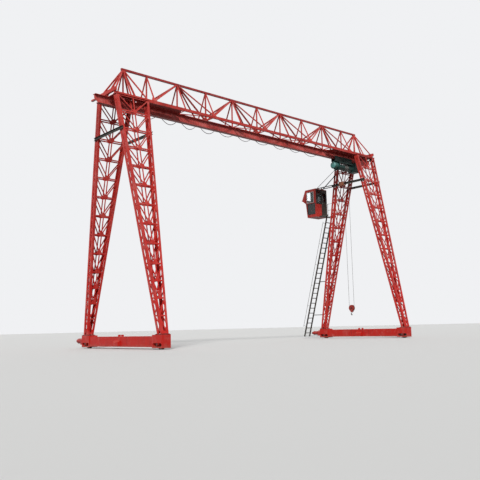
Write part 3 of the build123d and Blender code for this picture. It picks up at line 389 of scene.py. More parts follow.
@dataclass(frozen=True)
class WornSteel:
    """Bare rolled steel with a dark oxide skin and polished patches."""

    PATCHES = Blotches(7.0, 6.0, 0.6, 0.35, 0.7)
    RUST_SPOTS = Blotches(15.0, 7.0, 0.65, 0.56, 0.7, most=0.7, shift=5.0)
    GRAIN = Blotches(60.0, 4.0, 0.6)
    ROUGHER = 0.25

    name: str
    bright: Shade
    dark: Shade
    rust: Shade = (104, 66, 46)
    metal: float = 0.85
    gloss: float = 0.38

    def material(self) -> Material:
        """Build the steel: bright and dark patches, then spots of rust.

        Returns:
            The material.
        """
        g = Graph(self.name)
        patch = g.spread(self.PATCHES)
        g.tone = g.mix(patch, to_linear(self.bright), to_linear(self.dark))
        g.lay(g.spread(self.RUST_SPOTS), self.rust)
        g.surface(Base_Color=g.tone, Metallic=self.metal,
                  Roughness=g.ramp(patch, 0.0, 1.0, self.gloss, self.gloss + self.ROUGHER))
        g.bump(g.noise(self.GRAIN), distance=0.0008, strength=0.3)
        return g.material


@dataclass(frozen=True)
class TwistedWire:
    """Greased wire rope whose strands show as slanted bands."""

    GREASE = Blotches(6.0, 6.0, 0.62, 0.42, 0.68, most=0.6)
    CROWN = (0.15, 0.75)
    # Scale at which the wave texture has one band per metre
    ONE_PER_METRE = math.tau / 10

    name: str
    bright: Shade = (128, 126, 122)
    # Colour of the painted shade between strands, and of the grease
    dark: Shade = (52, 50, 48)
    strands: int = 6
    lay: float = 0.13
    mapped: str = ""

    def material(self) -> Material:
        """Build the rope: bright crowns, dark gaps of painted shade and patches of grease.

        Returns:
            The material.
        """
        g = Graph(self.name)
        strand = g.ramp(self._wound(g) if self.mapped else self._banded(g), *self.CROWN)
        # Dark between the strands: painted shade in the grooves
        g.tone = g.mix(strand, to_linear(self.dark), to_linear(self.bright))
        g.lay(g.spread(self.GREASE), self.dark)
        g.surface(Base_Color=g.tone, Roughness=0.5, Metallic=0.6)
        g.bump(strand, distance=0.002, strength=0.6)
        return g.material

    def _wound(self, g: Graph) -> Socket:
        """Strands that wind round a rope whose map runs round and along it.

        Args:
            g: The rope's nodes.

        Returns:
            A wave that is 1 on a strand's crown and 0 between two strands.
        """
        node = g.add("ShaderNodeUVMap")
        node.uv_map = self.mapped
        split = g.add("ShaderNodeSeparateXYZ", Vector=node.outputs["UV"]).outputs
        turns = g.calc("MULTIPLY_ADD", split["Y"], -1.0 / self.lay, split["X"])
        wave = g.calc("SINE", g.calc("MULTIPLY", turns, math.tau * self.strands))
        return g.calc("MULTIPLY_ADD", wave, 0.5, 0.5)

    def _banded(self, g: Graph) -> Socket:
        """Bands across a rope that lies wound up.

        Args:
            g: The rope's nodes.

        Returns:
            A wave that is 1 on a strand's crown and 0 between two strands.
        """
        node = g.add("ShaderNodeTexWave", Vector=g.place,
                     Scale=self.ONE_PER_METRE * self.strands / self.lay)
        node.wave_type = "BANDS"
        node.bands_direction = "DIAGONAL"
        return node.outputs["Fac"]


@dataclass(frozen=True)
class MouldedRubber:
    """Rubber, black unless it is given a colour, that has bleached in the sun."""

    BLOOM = Blotches(5.0, 6.0, 0.6, 0.4, 0.75)
    GRAIN = Blotches(220.0, 3.0, 0.5)

    name: str
    fresh: Shade = (30, 30, 31)
    grey: Shade = (62, 61, 60)

    def material(self) -> Material:
        """Build the rubber: its own colour with a paler bloom.

        Returns:
            The material.
        """
        g = Graph(self.name)
        g.surface(Roughness=0.72, Base_Color=g.mix(
            g.spread(self.BLOOM), to_linear(self.fresh), to_linear(self.grey)))
        g.bump(g.noise(self.GRAIN), distance=0.0006, strength=0.4)
        return g.material


@dataclass(frozen=True)
class TintedGlass:
    """Dusty window glass, dark with painted shade but for the sliding panes' clear half."""

    FILM = Blotches(4.0, 6.0, 0.6, 0.45, 0.8, most=0.4, stretch=(1.0, 1.0, 0.5))
    EDGE = 0.01
    CLEAN_ROUGHNESS = 0.02
    DUSTY_ROUGHNESS = 0.16

    name: str
    tint: Shade = (248, 252, 254)
    # Painted shade: the cabin's dark inside, as seen through the glass
    deep: Shade = (46, 54, 54)
    dust: Shade = (186, 190, 190)
    sill: float = 10.18
    slide: float = 3.04

    def material(self) -> Material:
        """Build the glass, clear in the sliding half and dark with painted shade elsewhere.

        Returns:
            The material.
        """
        g = Graph(self.name)
        film = g.spread(self.FILM)
        clear = g.times(g.ramp(g.along("Z"), self.sill, self.sill + self.EDGE),
                        g.ramp(g.along("Y"), self.slide, self.slide + self.EDGE))
        # Painted shade outside the clear half: the cabin's dark inside
        g.tone = g.mix(clear, to_linear(self.deep), to_linear(self.tint))
        g.lay(g.times(film, clear), self.dust)
        g.surface(Base_Color=g.tone, Transmission_Weight=0.94, IOR=1.45, Coat_Weight=0.4,
                  Coat_Roughness=0.05, Roughness=g.ramp(
                      film, 0.0, self.FILM.most, self.CLEAN_ROUGHNESS, self.DUSTY_ROUGHNESS))
        return g.material


class Palette:
    """All the crane's finishes, built once and handed out by slot."""

    def __init__(self) -> None:
        """Build every finish."""
        paint, steel, rubber = WeatheredPaint, WornSteel, MouldedRubber
        finishes = {
            Slot.RED: paint("red_machine_paint", (206, 30, 24), (204, 60, 50), (92, 22, 24),
                            aloft=(180, 50, 44)),
            Slot.DARK: paint("dark_primer", (44, 41, 36), (66, 61, 52), (24, 23, 21),
                             bare=(98, 70, 54), rust=(74, 52, 40), chalk=0.12),
            Slot.ORANGE: paint("orange_primer", (138, 72, 44), (158, 92, 62), (84, 48, 34)),
            Slot.DRIVE: paint("drive_enamel", (176, 40, 36), (190, 60, 52), (70, 30, 28),
                              gloss=0.36),
            Slot.TEAL: paint("machine_enamel", (30, 56, 53), (44, 74, 69), (14, 24, 24),
                             bare=(70, 62, 56), rust=(58, 46, 40), chalk=0.12, gloss=0.36),
            Slot.HOOK_RED: paint("hook_block_paint", (152, 38, 32), (170, 60, 50), (70, 28, 24),
                                 chips=0.6),
            Slot.HOOK_BLACK: paint("forged_black", (26, 26, 27), (48, 47, 46), (14, 14, 14),
                                   bare=(112, 106, 100), chips=0.6, gloss=0.34),
            Slot.WHEEL: steel("rolled_wheel_steel", (112, 110, 106), (58, 54, 50)),
            Slot.ROPE: TwistedWire("hoist_wire_rope"),
            Slot.CABLE: rubber("cable_sheath", (150, 154, 160), (186, 190, 196)),
            Slot.GLASS: TintedGlass("cabin_glass"),
        }
        self._by_slot = {slot: finish.material() for slot, finish in finishes.items()}
        self.carriage = paint("carriage_paint", (194, 29, 21), (192, 42, 32), (116, 25, 22),
                              dust=(150, 96, 80), dust_top=0.25).material()
        self.feet = paint("foot_plate_paint", (112, 30, 27), (132, 44, 38), (52, 20, 19),
                          chips=0.62).material()
        # Lighter copy of the red for the track beam: painted light where the girder shades it
        self.track = paint("track_beam_paint", (196, 74, 69), (208, 94, 87),
                           (104, 30, 30)).material()
        # Darker copy of the red for the girder's top chord: painted shade
        self.top_chord = paint("top_chord_paint", (152, 32, 32), (168, 50, 46),
                               (84, 22, 26)).material()
        self.motor = paint("motor_enamel", (82, 146, 141), (104, 166, 158), (34, 84, 80),
                           bare=(70, 62, 56), gloss=0.3, second=(44, 110, 102),
                           second_from=7.46).material()
        self.bolt = paint("painted_bolts", (150, 34, 30), (172, 60, 52), (70, 26, 24),
                          gloss=0.34).material()
        self.alloy = steel("window_alloy", (196, 194, 190), (160, 158, 154),
                           rust=(140, 134, 128), metal=0.5, gloss=0.4).material()
        self.zinc = steel("zinc_bolts", (168, 168, 164), (108, 106, 102), gloss=0.42).material()
        self.falls = TwistedWire("rope_fall_wire", mapped="strands").material()
        self.seal = rubber("window_seal").material()

    def of(self, slot: Slot) -> Material:
        """Finish of a record slot."""
        return self._by_slot[slot]


@dataclass
class Viewpoint:
    """Camera at the picture's place, solved from the crane's straight lines."""

    place: Point = (-28.030, -29.378, 0.948)
    heading: float = 48.130
    pitch: float = 7.684
    roll: float = -1.346
    lens: float = 48.65
    sensor: float = 36.0
    sight: float = 2000.0

    def build(self) -> bpy.types.Object:
        """Create the camera and make it the scene's own.

        Returns:
            The camera object.
        """
        turn, rise, lean = (math.radians(v) for v in (self.heading, self.pitch, self.roll))
        look = Vector((math.cos(turn) * math.cos(rise), math.sin(turn) * math.cos(rise),
                       math.sin(rise)))
        right = Vector((math.sin(turn), -math.cos(turn), 0.0))
        up = right.cross(look)
        across = right * math.cos(lean) + up * math.sin(lean)
        upward = up * math.cos(lean) - right * math.sin(lean)
        data = bpy.data.cameras.new("viewpoint")
        data.lens = self.lens
        data.sensor_width = self.sensor
        data.sensor_fit = "HORIZONTAL"
        data.clip_end = self.sight
        camera = bpy.data.objects.new("viewpoint", data)
        turned = Matrix((across, upward, -look)).transposed().to_4x4()
        camera.matrix_world = Matrix.Translation(self.place) @ turned
        bpy.context.collection.objects.link(camera)
        bpy.context.scene.camera = camera
        return camera


@dataclass
class Studio:
    """Pale floor, pale surround and soft light."""

    floor_reach: float = 420.0
    sky: Shade = (240, 241, 243)
    ground: Shade = (214, 213, 210)
    ground_light: Shade = (84, 80, 77)
    glow: Shade = (236, 240, 246)
    surround: float = 0.38
    sun_power: float = 2.95
    sun_spread: float = 16.0
    sun_from: Point = (-0.63, -0.6, 0.6)
    fill_power: float = 0.6
    fill_spread: float = 60.0
    fill_from: Point = (0.6, 0.75, 0.35)

    def build(self) -> None:
        """Create the floor, the world and the lamps."""
        self._floor()
        self._world()
        self._lamp("key", self.sun_from, self.sun_power, self.sun_spread)
        self._lamp("fill", self.fill_from, self.fill_power, self.fill_spread)
        bpy.context.scene.view_settings.view_transform = "Standard"

    def _floor(self) -> None:
        """Lay the floor at height zero."""
        mesh = bpy.data.meshes.new("floor")
        r = self.floor_reach
        mesh.from_pydata([(-r, -r, 0), (r, -r, 0), (r, r, 0), (-r, r, 0)], [], [(0, 1, 2, 3)])
        floor = bpy.data.objects.new("floor", mesh)
        bpy.context.collection.objects.link(floor)
        g = Graph("pale_floor")
        g.surface(Roughness=0.9, Base_Color=g.mix(
            self._seen(g), to_linear(self.ground_light), to_linear(self.ground)))
        mesh.materials.append(g.material)

    def _world(self) -> None:
        """Light the scene evenly and show a pale sky to the camera."""
        world = bpy.data.worlds.new("pale_surround")
        bpy.context.scene.world = world
        world.use_nodes = True
        world.node_tree.nodes.clear()
        wiring = Wiring(world.node_tree)
        light = wiring.add("ShaderNodeBackground", Color=to_linear(self.glow),
                           Strength=self.surround)
        seen = wiring.add("ShaderNodeBackground", Color=to_linear(self.sky), Strength=1.0)
        mix = wiring.add("ShaderNodeMixShader")
        for socket, value in zip(mix.inputs, (self._seen(wiring), light.outputs[0],
                                              seen.outputs[0])):
            wiring.feed(socket, value)
        out = wiring.add("ShaderNodeOutputWorld")
        wiring.feed(out.inputs[0], mix.outputs[0])

    @staticmethod
    def _seen(wiring: Wiring) -> Socket:
        """Tell whether a ray shows the surround, rather than lights the crane.

        Args:
            wiring: The node tree that asks.

        Returns:
            1 where the ray comes straight from the camera, off a gloss or through glass.
        """
        rays = wiring.add("ShaderNodeLightPath").outputs
        result = rays["Is Camera Ray"]
        for kind in ("Is Transmission Ray", "Is Glossy Ray"):
            result = wiring.calc("MAXIMUM", result, rays[kind])
        return result

    def _lamp(self, name: str, towards: Point, power: float, spread: float) -> None:
        """Add a sun lamp.

        Args:
            name: The lamp's name.
            towards: Direction from the crane to the lamp.
            power: The lamp's strength.
            spread: Its angular size in degrees, which softens shadows.
        """
        data = bpy.data.lights.new(name, "SUN")
        data.energy = power
        data.angle = math.radians(spread)
        lamp = bpy.data.objects.new(name, data)
        lamp.rotation_euler = Vector(towards).to_track_quat("Z", "Y").to_euler()
        bpy.context.collection.objects.link(lamp)


@dataclass
class FrameDress:
    """Gives every carried-over solid its finish."""

    palette: Palette

    def dress(self) -> None:
        """Put each node's finish in its material slots."""
        colours = self.palette
        slots = {row["node"]: row["material_slot"] for row in frame["record"]["subparts"]}
        # The top chord's darker red is painted shade
        # The track beam's lighter red is painted light
        own = {"leg_feet": colours.feet, "track_web": colours.track,
               "track_flanges": colours.track, "girder_top_chord": colours.top_chord,
               "hoist_motor": colours.motor, "beam_splices": colours.carriage}
        for end, piece in product(("left", "right"), ("carriage_beam", "wheel_boxes")):
            own[f"{end}_{piece}"] = colours.carriage
        for name, node in frame["nodes"].items():
            node.data.materials.clear()
            node.data.materials.append(own.get(name) or colours.of(Slot(slots[name])))
        LOG.info("dressed %d solids", len(frame["nodes"]))


@dataclass(frozen=True)
class FestoonCable:
    """Cable that hangs in loops from clips along the track beam."""

    across: float = 0.6
    level: float = 13.160
    thickness: float = 0.036
    clips: tuple[float, ...] = (-7.23, -5.8, -4.38, -2.89, -1.34, 0.16, 1.81, 3.39, 4.84, 6.62)
    # Corners of the route: place along the girder and drop below the clips
    route: tuple[Span, ...] = (
        (-8.82, 0.0), (-8.63, 0.0), (-8.39, 0.16), (-8.13, 0.3), (-7.84, 0.31), (-7.58, 0.17),
        (-7.32, 0.0), (-7.14, 0.0), (-6.92, 0.21), (-6.66, 0.35), (-6.38, 0.36), (-6.12, 0.22),
        (-5.89, 0.0), (-5.71, 0.0), (-5.5, 0.2), (-5.24, 0.35), (-4.96, 0.375), (-4.7, 0.23),
        (-4.47, 0.0), (-4.29, 0.0), (-4.06, 0.22), (-3.79, 0.36), (-3.49, 0.365), (-3.22, 0.23),
        (-2.98, 0.0), (-2.8, 0.0), (-2.56, 0.19), (-2.27, 0.29), (-1.95, 0.285), (-1.67, 0.17),
        (-1.43, 0.0), (-1.25, 0.0), (-1.02, 0.2), (-0.74, 0.31), (-0.43, 0.305), (-0.17, 0.19),
        (0.07, 0.0), (0.25, 0.0), (0.5, 0.17), (0.79, 0.265), (1.12, 0.27), (1.44, 0.17),
        (1.72, 0.0), (1.9, 0.0), (2.15, 0.18), (2.44, 0.285), (2.75, 0.29), (3.05, 0.175),
        (3.3, 0.0), (3.48, 0.0), (3.71, 0.16), (3.98, 0.255), (4.27, 0.26), (4.53, 0.155),
        (4.75, 0.0), (4.93, 0.0), (5.2, 0.175), (5.52, 0.29), (5.88, 0.295), (6.23, 0.175),
        (6.53, 0.0), (6.71, 0.0), (6.88, 0.085), (7.06, 0.09), (7.23, 0.0), (7.34, 0.0))

    def build(self, palette: Palette) -> None:
        """Hang the cable and log its real length.

        Args:
            palette: The crane's finishes.
        """
        data = bpy.data.curves.new("festoon_loops", "CURVE")
        data.dimensions = "3D"
        data.resolution_u = 6
        spline = data.splines.new("NURBS")
        spline.points.add(len(self.route) - 1)
        for point, (x, drop) in zip(spline.points, self.route):
            point.co = (x, self.across, self.level - drop, 1.0)
        spline.order_u = 3
        spline.use_endpoint_u = True
        cable = bpy.data.objects.new("festoon_loops", data)
        bpy.context.collection.objects.link(cable)
        length = self._measure(cable)
        data.bevel_depth = self.thickness / 2
        data.bevel_resolution = 3
        data.use_fill_caps = True
        data.materials.append(palette.of(Slot.CABLE))
        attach(cable, Body.PORTAL.value)
        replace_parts(cable, "festoon_cable")
        LOG.info("festoon cable, %.2f m long", length)

    @staticmethod
    def _measure(cable: bpy.types.Object) -> float:
        """Length in metres of a cable's own line, before it gets its thickness.

        Args:
            cable: The curve object.

        Returns:
            The length.
        """
        line = bpy.data.meshes.new_from_object(
            cable.evaluated_get(bpy.context.evaluated_depsgraph_get()))
        spots = [vertex.co for vertex in line.vertices]
        length = sum((b - a).length for a, b in zip(spots, spots[1:]))
        bpy.data.meshes.remove(line)
        return length


class Shape:
    """Mesh of one rigid piece, put together from bars, rods, plates and rings."""

    ROUNDING_STEPS = 2
    SHARP = math.radians(40)

    def __init__(self, name: str, soften: float = 0.0) -> None:
        """Start an empty piece.

        Args:
            name: The piece's name.
            soften: Width of the rounding on its sharp edges.
        """
        self.name = name
        self.soften = soften
        self.bm = bmesh.new()

    def solid(self, loops: Sequence[Sequence[Vector]], closed: bool = False) -> None:
        """Add a skin over a row of loops with the same number of points.

        Args:
            loops: The loops, in order along the solid.
            closed: Whether the last loop joins the first, as in a ring.
        """
        rows = [[self.bm.verts.new(spot) for spot in loop] for loop in loops]
        count = len(rows[0])
        pairs = list(zip(rows, rows[1:]))
        if closed:
            pairs.append((rows[-1], rows[0]))
        for one, two in pairs:
            for i in range(count):
                j = (i + 1) % count
                self.bm.faces.new((one[i], one[j], two[j], two[i]))
        if not closed:
            self.bm.faces.new(list(reversed(rows[0])))
            self.bm.faces.new(rows[-1])

    def block(self, low: Point, high: Point) -> None:
        """Add a block between two corners.

        Args:
            low: The corner with the least of every coordinate.
            high: The corner with the most.
        """
        (x0, y0, z0), (x1, y1, z1) = low, high
        self.solid([[Vector((x, y0, z0)), Vector((x, y1, z0)), Vector((x, y1, z1)),
                     Vector((x, y0, z1))] for x in (x0, x1)])

    def rod(self, start: Vector, end: Vector, radius: float, sides: int = 16,
            taper: float = 1.0) -> None:
        """Add a round bar.

        Args:
            start: Middle of its first end.
            end: Middle of its last end.
            radius: Radius at the start.
            sides: Number of sides.
            taper: Radius at the end, as a share of that at the start.
        """
        self.solid([self._circle(start, end - start, radius, sides),
                    self._circle(end, end - start, radius * taper, sides)])

    def collar(self, centre: Vector, axis: Vector, inner: float, outer: float, depth: float,
               sides: int = 32) -> None:
        """Add a flat ring round an axle.

        Args:
            centre: Middle of its seat.
            axis: Direction it stands out in.
            inner: Radius of its hole.
            outer: Outer radius.
            depth: How far it stands out.
            sides: Number of sides.
        """
        out = axis.normalized() * depth
        self.solid([self._circle(centre, axis, outer, sides),
                    self._circle(centre + out, axis, outer, sides),
                    self._circle(centre + out, axis, inner, sides),
                    self._circle(centre, axis, inner, sides)], closed=True)

    def frame(self, corner: Vector, across: Vector, up: Vector, width: float,
              grow: float, out: Vector) -> None:
        """Add a flat frame round a rectangular opening.

        Args:
            corner: The opening's first corner, on the frame's seat.
            across: Its first side, from that corner.
            up: Its second side, from that corner.
            width: Width of the frame's strip.
            grow: How far the strip's inner edge lies outside the opening.
            out: Direction and thickness of the frame.
        """
        loops = []
        for lift, reach in ((0, grow + width), (1, grow + width), (1, grow), (0, grow)):
            a = across.normalized() * reach
            b = up.normalized() * reach
            base = corner + out * lift
            loops.append([base - a - b, base + across + a - b, base + across + up + a + b,
                          base + up - a + b])
        self.solid(loops, closed=True)

    def loose(self) -> bpy.types.Object:
        """Turn the piece into an object that rides nothing yet, with its edges rounded.

        Returns:
            The object.
        """
        bmesh.ops.recalc_face_normals(self.bm, faces=self.bm.faces)
        mesh = bpy.data.meshes.new(self.name)
        self.bm.to_mesh(mesh)
        self.bm.free()
        piece = bpy.data.objects.new(self.name, mesh)
        bpy.context.collection.objects.link(piece)
        if self.soften > 0:
            round_off = piece.modifiers.new("rounding", "BEVEL")
            round_off.width = self.soften
            round_off.segments = self.ROUNDING_STEPS
            round_off.limit_method = "ANGLE"
            round_off.angle_limit = self.SHARP
        return piece

    @staticmethod
    def _circle(centre: Vector, axis: Vector, radius: float, sides: int) -> list[Vector]:
        """Lay out a circle square to an axis.

        Args:
            centre: The circle's middle.
            axis: Direction that it faces.
            radius: Its radius.
            sides: Number of points.

        Returns:
            The points, in order.
        """
        turn = axis.to_track_quat("Z", "Y")
        return [centre + turn @ Vector((radius * math.cos(math.tau * i / sides),
                                        radius * math.sin(math.tau * i / sides), 0))
                for i in range(sides)]


class NodeRecipe(Wiring):
    """Geometry Nodes tree with named sizes that ends in one plain mesh."""

    def __init__(self, name: str) -> None:
        """Start an empty tree.

        Args:
            name: The tree's name.
        """
        super().__init__(bpy.data.node_groups.new(name, "GeometryNodeTree"))
        for way in ("INPUT", "OUTPUT"):
            self.tree.interface.new_socket(name="Geometry", in_out=way,
                                           socket_type="NodeSocketGeometry")
        self.entry = self.add("NodeGroupInput")
        self.keys: dict[str, str] = {}

    def size(self, name: str, value: float) -> Socket:
        """Add a named size to the tree.

        Args:
            name: The size's name.
            value: Its value.

        Returns:
            The socket that carries it.
        """
        item = self.tree.interface.new_socket(name=name, in_out="INPUT",
                                              socket_type="NodeSocketFloat")
        item.default_value = value
        self.keys[name] = item.identifier
        return next(s for s in self.entry.outputs if s.identifier == item.identifier)

    def vector(self, x: object = 0.0, y: object = 0.0, z: object = 0.0) -> Socket:
        """Put three numbers or sockets together."""
        return self.add("ShaderNodeCombineXYZ", X=x, Y=y, Z=z).outputs[0]

    def box(self, x: object, y: object, z: object) -> Socket:
        """A block with these sides."""
        return self.add("GeometryNodeMeshCube", Size=self.vector(x, y, z)).outputs["Mesh"]

    def moved(self, part: Socket, spot: object, turn: Point = (0.0, 0.0, 0.0)) -> Socket:
        """Move a part to a spot, turned by angles."""
        return self.add("GeometryNodeTransform", Geometry=part, Translation=spot,
                        Rotation=turn).outputs[0]

    def sweep(self, line: bpy.types.Node, profile: bpy.types.Node) -> Socket:
        """A bar with this profile along a line, closed at its ends."""
        return self.add("GeometryNodeCurveToMesh", Curve=line.outputs[0],
                        Profile_Curve=profile.outputs[0], Fill_Caps=True).outputs[0]

    def join(self, *parts: Socket) -> Socket:
        """Join geometries into one.

        Args:
            *parts: The geometries.

        Returns:
            The joined geometry.
        """
        node = self.add("GeometryNodeJoinGeometry")
        for part in parts:
            self.feed(node.inputs[0], part)
        return node.outputs[0]

    def on_points(self, part: Socket) -> Socket:
        """Set a part on every marked point, turned along the point's aim.

        Args:
            part: The part, which faces up.

        Returns:
            The parts as instances.
        """
        aim = self.add("GeometryNodeInputNamedAttribute", Name="aim")
        aim.data_type = "FLOAT_VECTOR"
        turn = self.add("FunctionNodeAlignRotationToVector", Vector=aim.outputs["Attribute"])
        turn.axis = "Z"
        return self.add("GeometryNodeInstanceOnPoints", Points=self.entry.outputs[0],
                        Instance=part, Rotation=turn.outputs[0]).outputs[0]

    def close(self, geometry: Socket, material: Material) -> None:
        """End the tree in plain geometry with a material.

        Args:
            geometry: What the tree makes.
            material: Its finish.
        """
        real = self.add("GeometryNodeRealizeInstances", Geometry=geometry)
        done = self.add("GeometryNodeSetMaterial", Geometry=real.outputs[0], Material=material)
        self.feed(self.add("NodeGroupOutput").inputs[0], done.outputs[0])

    def run(self, name: str, spots: Iterable[Spot], **sizes: float) -> bpy.types.Object:
        """Run the tree on marked points and keep the result as a plain mesh.

        Args:
            name: Name of the new piece.
            spots: Each point's place and the way its part faces.
            **sizes: Values of named sizes.

        Returns:
            The piece, with nothing live on it.
        """
        marked = list(spots)
        seed = bpy.data.meshes.new(name + "_points")
        seed.from_pydata([spot for spot, _ in marked], [], [])
        aims = seed.attributes.new("aim", "FLOAT_VECTOR", "POINT")
        for entry, (_, aim) in zip(aims.data, marked):
            entry.vector = aim
        maker = bpy.data.objects.new(name + "_maker", seed)
        bpy.context.collection.objects.link(maker)
        live = maker.modifiers.new("recipe", "NODES")
        live.node_group = self.tree
        for label, value in sizes.items():
            live[self.keys[label]] = value
        made = maker.evaluated_get(bpy.context.evaluated_depsgraph_get())
        mesh = bpy.data.meshes.new_from_object(made)
        mesh.name = name
        bpy.data.objects.remove(maker)
        bpy.data.meshes.remove(seed)
        piece = bpy.data.objects.new(name, mesh)
        bpy.context.collection.objects.link(piece)
        return piece


class HexBolts:
    """Hexagon bolt heads on washers, set wherever a list of spots says."""

    HEIGHT_SHARE = 0.65
    WASHER_SHARE = 0.25
    WASHER_REACH = 1.35

    def __init__(self, material: Material) -> None:
        """Write the recipe.

        Args:
            material: The finish that the recipe ends in.
        """
        recipe = NodeRecipe("hex_bolts")
        size = recipe.size("size", 0.015)
        height = recipe.size("height", 0.010)
        washer = recipe.size("washer", 0.004)
        head = recipe.add("GeometryNodeMeshCylinder", Vertices=6, Radius=size, Depth=height)
        rim = recipe.calc("MULTIPLY", size, self.WASHER_REACH)
        plate = recipe.add("GeometryNodeMeshCylinder", Vertices=12, Radius=rim, Depth=washer)
        middle = recipe.calc("MULTIPLY_ADD", height, 0.5, washer)
        lift = recipe.calc("MULTIPLY", washer, 0.5)
        both = recipe.join(*(recipe.moved(part.outputs["Mesh"], recipe.vector(z=level))
                             for part, level in ((head, middle), (plate, lift))))
        recipe.close(recipe.on_points(both), material)
        self.recipe = recipe

    def make(self, name: str, spots: Iterable[Spot], size: float) -> bpy.types.Object:
        """Make bolts.

        Args:
            name: Name of the piece that holds them all.
            spots: Places and directions of the heads.
            size: Radius of a head, corner to middle.

        Returns:
            The bolts as one mesh.
        """
        return self.recipe.run(name, spots, size=size, height=size * self.HEIGHT_SHARE,
                               washer=size * self.WASHER_SHARE)


@dataclass
class SubAssembly:
    """Group of dressed pieces on one body, with the finishes and the bolt maker it uses."""

    BODY = Body.PORTAL

    palette: Palette
    bolts: HexBolts

    def fit(self, piece: bpy.types.Object, slot: Slot,
            material: Material | None = None) -> bpy.types.Object:
        """Give a finished piece its finish and its body.

        Args:
            piece: The piece.
            slot: The record's slot.
            material: Its finish, where it isn't the slot's own.

        Returns:
            The same piece.
        """
        piece.data.materials.clear()
        piece.data.materials.append(material or self.palette.of(slot))
        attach(piece, self.BODY.value)
        LOG.info("%s on %s", piece.name, self.BODY.value)
        return piece

    def bolt_on(self, name: str, spots: Iterable[Spot], slot: Slot, size: float,
                material: Material | None = None) -> None:
        """Set bolts on the group's body.

        Args:
            name: Name of the piece that holds them all.
            spots: Places and directions of the heads.
            slot: The record's slot.
            size: Radius of a head, corner to middle.
            material: Their finish, where it isn't the slot's own.
        """
        self.fit(self.bolts.make(name, spots, size), slot, material)


@dataclass
class Portal:
    """Sizes of the portal that its dressed pieces line up with."""

    support_x: float = 10.0
    leg_top: float = 13.23
    leg_foot: float = 0.75
    half_x: Span = (0.195, 1.01)
    mid_y: Span = (3.59, 0.856)
    half_y: Span = (0.21, 0.16)
    brace_level: float = 11.31
    channel_wall: float = 0.010
    channel_flange: float = 0.065

    def at(self, ends: Span, level: float) -> float:
        """Size between a leg's foot and its top, at a level."""
        share = (level - self.leg_foot) / (self.leg_top - self.leg_foot)
        return ends[0] + (ends[1] - ends[0]) * share

    def outward(self, side: int) -> Vector:
        """Direction square to a leg's narrow face."""
        lean = math.atan2(self.half_x[1] - self.half_x[0], self.leg_top - self.leg_foot)
        return Vector((side * math.cos(lean), 0, -math.sin(lean)))

    def brace_seat(self, end: int, side: int, y: float) -> Vector:
        """Middle line of a channel brace's back."""
        reach = self.at(self.half_x, self.brace_level)
        return Vector((end * self.support_x + side * reach, y, self.brace_level))


@dataclass
class PortalBolts(SubAssembly):
    """Bolts that hold the legs, braces and carriages together."""

    portal: Portal
    chord_reach: float = 0.07
    row_rise: float = 0.042
    foot_level: float = 0.725
    foot_x: float = 0.246
    foot_y: float = 0.271
    foot_pitch: float = 0.1
    foot_bolt: float = 0.014
    splice_face: float = 0.250
    splice_ends: Span = (-0.125, 0.485)
    splice_rows: tuple[float, ...] = (0.17, 0.25, 0.33, 0.41, 0.49, 0.58)
    splice_top: tuple[float, ...] = (-0.04, 0.05, 0.14, 0.23, 0.32, 0.41)
    lug_places: Span = (0.03, 0.33)
    lug_level: float = 0.685
    lug_half: float = 0.06
    bolt: float = 0.016

    def build(self) -> None:
        """Set all bolts of the portal."""
        self.bolt_on("brace_bolts", self._braces(), Slot.DARK, self.bolt)
        self.bolt_on("foot_bolts", self._feet(), Slot.RED, self.foot_bolt, self.palette.bolt)
        self.bolt_on("splice_bolts", self._splices(), Slot.RED, self.bolt, self.palette.bolt)

    def _braces(self) -> list[Spot]:
        """Place two bolts where a brace crosses each corner angle of a leg.

        Returns:
            Places and directions of the heads.
        """
        spots = []
        portal = self.portal
        middle = portal.at(portal.mid_y, portal.brace_level)
        reach = portal.at(portal.half_y, portal.brace_level) - self.chord_reach
        for end, side in product(SIDES, SIDES):
            out = portal.outward(side)
            rise = Vector((-out.z, 0, out.x)) * side
            for y in (-middle - reach, -middle + reach, middle - reach, middle + reach):
                seat = portal.brace_seat(end, side, y) + out * portal.channel_wall
                spots += [(seat + rise * self.row_rise, out), (seat - rise * self.row_rise, out)]
        return spots

    def _feet(self) -> list[Spot]:
        """Place bolts round the rim of each foot plate.

        Returns:
            Places and directions of the heads.
        """
        spots = []
        for end, side, i, sign in product(SIDES, SIDES, range(-2, 3), SIDES):
            x, y = end * self.portal.support_x, side * self.portal.mid_y[0]
            run = i * self.foot_pitch
            spots += [(Vector((*place, self.foot_level)), UP) for place in (
                (x + run, y + sign * self.foot_y), (x + sign * self.foot_x, y + run))]
        return spots

    def _splices(self) -> list[Spot]:
        """Place bolts along the edges of each splice plate and through its lugs.

        Returns:
            Places and directions of the heads.
        """
        spots = []
        for end, side in product(SIDES, SIDES):
            face, lug = (end * self.portal.support_x + side * reach
                         for reach in (self.splice_face, self.lug_half))
            places = [(face, y, z) for y, z in product(self.splice_ends, self.splice_rows)]
            places += [(face, y, self.splice_rows[-1]) for y in self.splice_top]
            places += [(lug, y, self.lug_level) for y in self.lug_places]
            spots += [(Vector(place), Vector((side, 0, 0))) for place in places]
        return spots


